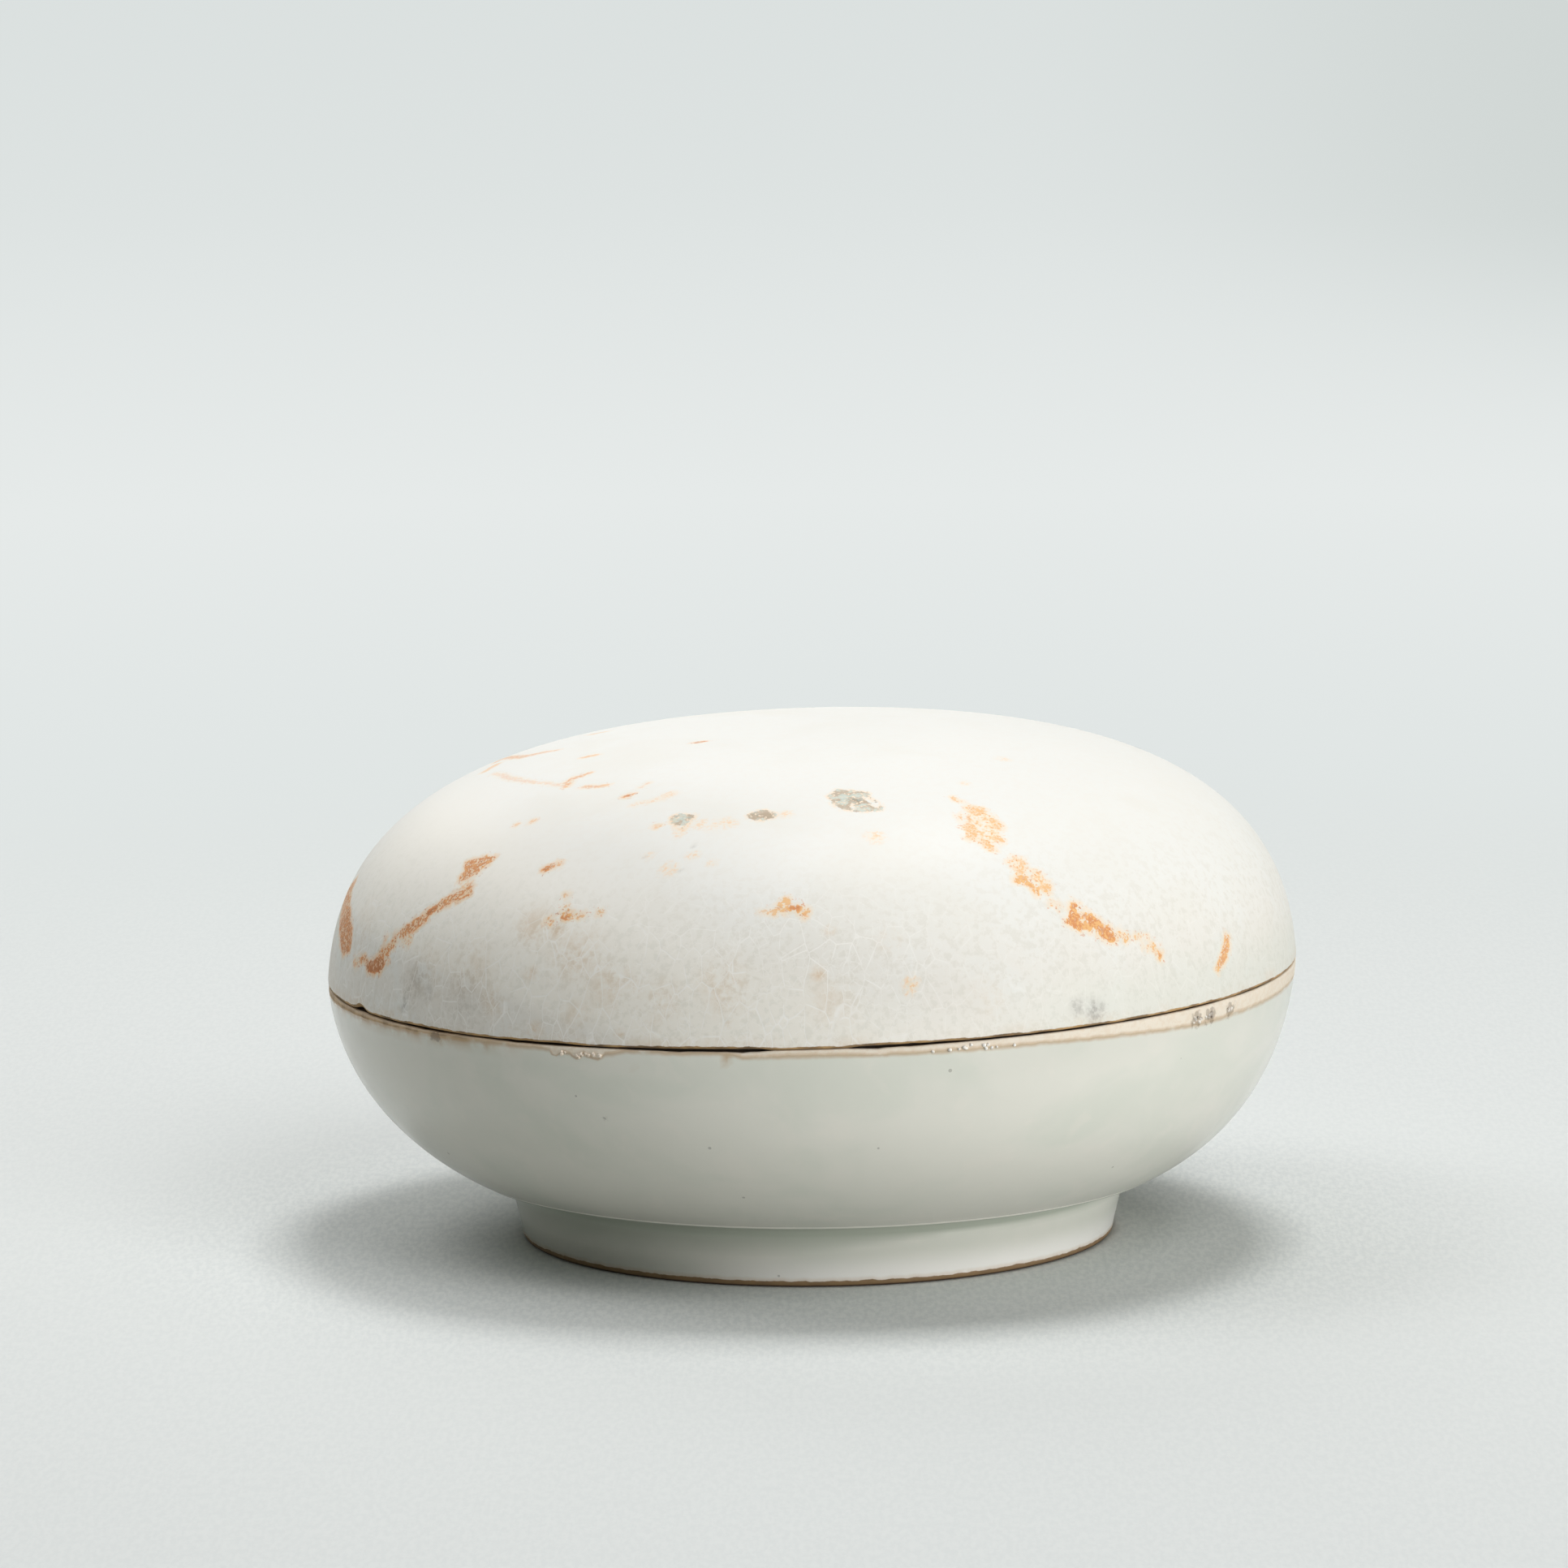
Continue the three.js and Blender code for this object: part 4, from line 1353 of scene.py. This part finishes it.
def turn_piece(name, shape, section, segments, seed, material):
    """Turns a section and returns the piece, its points and their distance along the section."""
    low, high = lean_range(shape)
    values = {
        "Segments": segments,
        "Lean Slope": math.tan(shape.kiln_lean),
        "Lean Start": low,
        "Lean End": high,
        "Foot Offset": shape.foot_offset,
        "Ring Depth": shape.ring_depth,
        "Ring Pitch": shape.ring_pitch,
        "Warp": shape.warp,
        "Rim Radius": shape.rim_radius,
        "Seed": seed,
        "Material": material,
    }
    piece = wheel_tree().make(name, section_mesh(name, section), values)
    return piece, mesh_vectors(piece.data, "co"), take_along(piece.data)


def hand_over(piece, points, node):
    """Puts a turned piece's points in place and lets it stand for its CAD node."""
    piece.data.vertices.foreach_set("co", points.astype(np.float32).ravel())
    piece.data.update()
    check_fit(piece, node)
    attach(piece, node)
    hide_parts(node)


# Operators


class COVEREDBOX_OT_turn_base(bpy.types.Operator):
    """Turns and glazes the base with its foot, ledge and collar"""

    bl_idname = "covered_box.turn_base"
    bl_label = "Turn base"

    def execute(self, context):
        shape = context.scene.covered_box_shape
        section = base_section(shape)
        material = base_glaze(shape, context.scene.covered_box_colours)
        piece, points, along = turn_piece(
            "porcelain_base", shape, section, shape.base_segments, seed=3.0, material=material
        )
        mesh = piece.data
        surface = Turned(shape, section)
        azimuth = azimuth_of(points)
        rim = section.mark_at("rim")
        step = section.mark_at("step")

        # Bare clay on the rim and the foot, thin glaze on the ridge, and pooled glaze above the
        # foot that also serves as painted shade.
        drop = course(azimuth, BAND_DROP) * MM
        band_end = section.mark_at("inside") + 1.2 * MM
        band = np.minimum(along - (rim - drop), band_end - along)
        foot_end = section.mark_at("foot_side") + 0.75 * MM
        foot = np.minimum(along - section.mark_at("foot_flat"), foot_end - along)
        bare = np.maximum(band, foot) / MM
        thin = np.clip(1 - np.abs(along - step - 0.45 * MM) / (0.5 * MM), 0, 1)
        below_cove = section.mark_at("cove") + 0.4 * MM - along
        pooled = np.clip(1 - below_cove / (course(azimuth, POOL_AND_SHADE_RUN) * MM), 0, 1) * (along < step)
        store(mesh, "glaze", bare, thin, pooled)

        # Brown stains, dirt and painted shade on the ledge inside the seam, and lumps of bare clay.
        def marked(marks):
            """The strongest of some marks below the rim."""
            spots = [(surface.place(a, rim - below * MM), size, 1.0) for a, below, size in marks]
            return strongest(points, spots)

        near_rim = np.clip(1 - np.abs(along - rim) / (1.2 * MM), 0, 1)
        tan = np.maximum(marked(BROWN_STAINS), near_rim * course(azimuth, RIM_BROWN))
        tucked = (along > rim + 0.75 * MM) & (along < section.mark_at("lip"))
        # Painted shade, partly dirt: the ledge inside the seam is darkened.
        seam_dirt_and_shade = tucked * np.clip(1.5 - (along - rim) / (3.2 * MM), 0, 1)
        smudge = np.maximum(marked(DIRT_SMUDGES), seam_dirt_and_shade)
        store(mesh, "stain", tan, smudge, marked(BARE_LUMPS) * 1.5)

        # The ridge along the step and the worn rim.
        points += mesh_vectors(mesh, "normal") * (STEP_RIDGE * eased(thin))[:, None]
        points[:, 2] += rim_shift(points, along, rim + 0.2 * MM, rim + 1.2 * MM, seed=21)
        hand_over(piece, points, "base")
        return {"FINISHED"}


class COVEREDBOX_OT_turn_lid(bpy.types.Operator):
    """Turns and glazes the lid and lays on the remains of its enamel"""

    bl_idname = "covered_box.turn_lid"
    bl_label = "Turn lid"

    def execute(self, context):
        shape = context.scene.covered_box_shape
        section = lid_section(shape)
        material = lid_glaze(shape, context.scene.covered_box_colours)
        piece, points, along = turn_piece(
            "porcelain_lid", shape, section, shape.lid_segments, seed=11.0, material=material
        )
        mesh = piece.data
        chart = LidChart(shape, section, points, along)
        rim = section.mark_at("rim")

        # Enamel: every point takes the wear of its nearest mark, and what came off is cut out.
        def laid(marks, distance):
            """The wear of painted marks and the distance from them, on both sides of the lid."""
            return [(wear, distance(side)) for *wear, places in marks for side in sides(places)]

        red = np.full(len(points), chart.FAR)
        wear = np.tile([0.5, 0.0, 0.0], (len(points), 1))
        for own_wear, gap in laid(RED_PATCHES, chart.patch) + laid(RED_STROKES, chart.stroke):
            wear[gap < red] = own_wear
            red = np.minimum(red, gap)
        keep, depth, strength = wear.T
        red = np.maximum(red, 0.1 - chart.nearest(LOST_FLAKES))
        leaf = np.maximum(chart.nearest(LEAVES), 0.1 - chart.nearest(LOST_LEAF))
        store(mesh, "enamel", red, leaf, keep)
        store(mesh, "wear", depth, strength, chart.spots(LEAF_SHADES))

        # Pale traces, stains and smudges, then the bare clay of the seat.
        traces = [mark for trace in PALE_TRACES for side in sides([trace]) for mark in side]
        pale = np.maximum(chart.spots(traces), np.clip(0.5 - chart.nearest(PALE_WASHES), 0, 0.9))
        low_edge = np.clip(1 - (along - rim) / (2.2 * MM), 0, 1)
        edge_tan = low_edge * 0.7 * ragged(chart.azimuth, 90, seed=12)
        tan = np.maximum(chart.spots(TAN_STAINS), edge_tan)
        smudge = chart.spots(GREY_SMUDGES)
        store(mesh, "stain", tan * chart.outside, smudge, pale * chart.outside)
        seat_start = section.mark_at("seat") - 1.5 * MM
        seat = np.minimum(along - seat_start, rim + 0.65 * MM - along)
        store(mesh, "bare", seat / MM)

        # The worn rim and its chip.
        points[:, 2] -= rim_shift(points, along, rim, section.mark_at("dome"), seed=31)
        turn, climb, radius, chipped = EDGE_CHIP
        points[:, 2] += chipped * MM * spot(points, chart.place(turn, climb), radius * MM)
        hand_over(piece, points, "lid")
        return {"FINISHED"}


class COVEREDBOX_OT_scatter_grit(bpy.types.Operator):
    """Scatters grains of kiln sand on the bare band and inside the foot ring"""

    bl_idname = "covered_box.scatter_grit"
    bl_label = "Scatter grit"

    def execute(self, context):
        shape = context.scene.covered_box_shape
        section = base_section(shape)
        surface = Turned(shape, section)
        chance = np.random.default_rng(5)
        places = []
        rim = section.mark_at("rim")
        for middle, below, spread, grains in GRIT_CLUSTERS:
            for _ in range(grains):
                turn = middle + chance.normal() * spread
                places.append(surface.place(turn, rim - (below + chance.normal() * 0.2) * MM))
        foot = section.mark_at("foot_flat")
        for _ in range(FOOT_GRAINS):
            turn = chance.uniform(-180, 180)
            places.append(surface.place(turn, foot - chance.uniform(0.2, 1.4) * MM))
        mesh = bpy.data.meshes.new("kiln_grit")
        mesh.from_pydata([tuple(p) for p in places], [], [])
        material = kiln_grit(context.scene.covered_box_colours)
        values = {"Grain Size": GRAIN_SIZE, "Seed": 4, "Material": material}
        piece = grit_tree().make("kiln_grit", mesh, values)
        check_fit(piece, "base")
        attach(piece, "base")
        return {"FINISHED"}


class COVEREDBOX_OT_set_stage(bpy.types.Operator):
    """Sets the sweep, the soft lights and the camera"""

    bl_idname = "covered_box.set_stage"
    bl_label = "Set stage"

    def execute(self, context):
        settings = context.scene.covered_box_stage
        self.lay_sweep(settings)
        self.hang_lights(context, settings)
        self.set_camera(context, settings)
        context.scene.view_settings.view_transform = "Standard"
        return {"FINISHED"}

    @staticmethod
    def lay_sweep(settings):
        """A round sweep: level floor that rises into a wall far from the box."""
        fine_end, floor_end, rise, wall = 0.3, 1.6, 0.5, 0.8
        edge = floor_end + rise
        section = Section()
        section.add([(0, 0), (fine_end, 0)], 0.02)
        section.add([(fine_end, 0), (floor_end, 0)], 0.1)
        section.add(bend((floor_end, 0), (edge, 0), (edge, rise)), 0.08)
        section.add([(edge, rise), (edge, rise + wall)], 0.2)
        turns = np.linspace(0, math.tau, SWEEP_SIDES, endpoint=False)
        rings = section.points[1:]
        places = [(0.0, 0.0, 0.0)]
        places += [(r * math.cos(t), r * math.sin(t), z) for r, z in rings for t in turns]
        pairs = [(i, (i + 1) % SWEEP_SIDES) for i in range(SWEEP_SIDES)]
        faces = [(0, 1 + i, 1 + j) for i, j in pairs]
        for ring in range(len(rings) - 1):
            near = 1 + ring * SWEEP_SIDES
            far = near + SWEEP_SIDES
            faces += [(near + i, far + i, far + j, near + j) for i, j in pairs]
        mesh = bpy.data.meshes.new("pale_sweep")
        mesh.from_pydata(places, [], faces)
        reach = np.repeat(section.along()[1:], SWEEP_SIDES)
        store(mesh, "reach", np.concatenate([[0.0], reach]))
        for face in mesh.polygons:
            face.use_smooth = True
        mesh.materials.append(sweep_paper(settings))
        sweep = bpy.data.objects.new("pale_sweep", mesh)
        bpy.context.collection.objects.link(sweep)

    @staticmethod
    def hang_lights(context, settings):
        box = (0.0, 0.0, 0.03)
        s = settings
        lights = [
            ("overhead_light", (0.12, 0.19, 1.00), (0.12, 0.19, 0.00), 0.27, 0.40, s.overhead),
            ("left_light", (-0.60, 0.10, 0.85), box, 0.5, 0.5, s.left),
            ("back_light", (-0.25, 0.95, 0.70), box, 0.8, 0.5, s.behind),
            ("right_low_light", (0.86, -0.67, 0.08), box, 0.7, 0.14, s.right_low),
            ("front_right_light", (0.50, -0.80, 0.90), box, 0.7, 0.6, s.front_right),
            ("high_left_light", (-0.22, 0.12, 1.00), (-0.22, 0.12, 0.00), 0.27, 0.30, s.high_left),
        ]
        for name, place, target, wide, tall, power in lights:
            lamp = bpy.data.lights.new(name, "AREA")
            lamp.shape = "RECTANGLE"
            lamp.size = wide
            lamp.size_y = tall
            lamp.energy = power
            holder = bpy.data.objects.new(name, lamp)
            holder.location = place
            way = Vector(target) - Vector(place)
            holder.rotation_euler = way.to_track_quat("-Z", "Y").to_euler()
            holder.visible_camera = False
            context.collection.objects.link(holder)
        world = bpy.data.worlds.new("surrounding_light")
        context.scene.world = world
        world.use_nodes = True
        back = world.node_tree.nodes["Background"]
        back.inputs["Color"].default_value = paint(246, 250, 252)
        back.inputs["Strength"].default_value = settings.sky

    @staticmethod
    def set_camera(context, settings):
        camera = bpy.data.cameras.new("photo_camera")
        camera.sensor_width = 36
        camera.lens = settings.lens
        camera.clip_start = 0.05
        holder = bpy.data.objects.new("photo_camera", camera)
        tilt = Matrix.Rotation(math.pi / 2 - settings.camera_pitch, 4, "X")
        roll = Matrix.Rotation(-settings.camera_roll, 4, "Z")
        holder.matrix_world = Matrix.Translation(settings.camera_place) @ tilt @ roll
        context.collection.objects.link(holder)
        context.scene.camera = holder


class COVEREDBOX_PT_panel(bpy.types.Panel):
    """Lists the steps that make the box"""

    bl_idname = "COVEREDBOX_PT_panel"
    bl_label = "Covered Box"
    bl_space_type = "VIEW_3D"
    bl_region_type = "UI"
    bl_category = "Covered Box"

    def draw(self, context):
        for step in STEPS:
            self.layout.operator(step.bl_idname)
        for owner in GROUPS:
            group = getattr(context.scene, owner)
            column = self.layout.column(align=True)
            for name in group.__annotations__:
                column.prop(group, name, text=name.replace("_", " ").capitalize())


STEPS = (
    COVEREDBOX_OT_turn_base,
    COVEREDBOX_OT_turn_lid,
    COVEREDBOX_OT_scatter_grit,
    COVEREDBOX_OT_set_stage,
)
GROUPS = {
    "covered_box_shape": BoxShape,
    "covered_box_colours": GlazeColours,
    "covered_box_stage": StageSettings,
}
CLASSES = (*GROUPS.values(), *STEPS, COVEREDBOX_PT_panel)


def register():
    for kind in CLASSES:
        bpy.utils.register_class(kind)
    for owner, group in GROUPS.items():
        setattr(bpy.types.Scene, owner, bpy.props.PointerProperty(type=group))


def unregister():
    for owner in reversed(GROUPS):
        delattr(bpy.types.Scene, owner)
    for kind in reversed(CLASSES):
        bpy.utils.unregister_class(kind)


def main():
    register()
    bpy.ops.covered_box.turn_base()
    bpy.ops.covered_box.turn_lid()
    bpy.ops.covered_box.scatter_grit()
    bpy.ops.covered_box.set_stage()


if __name__ == "__main__":
    main()
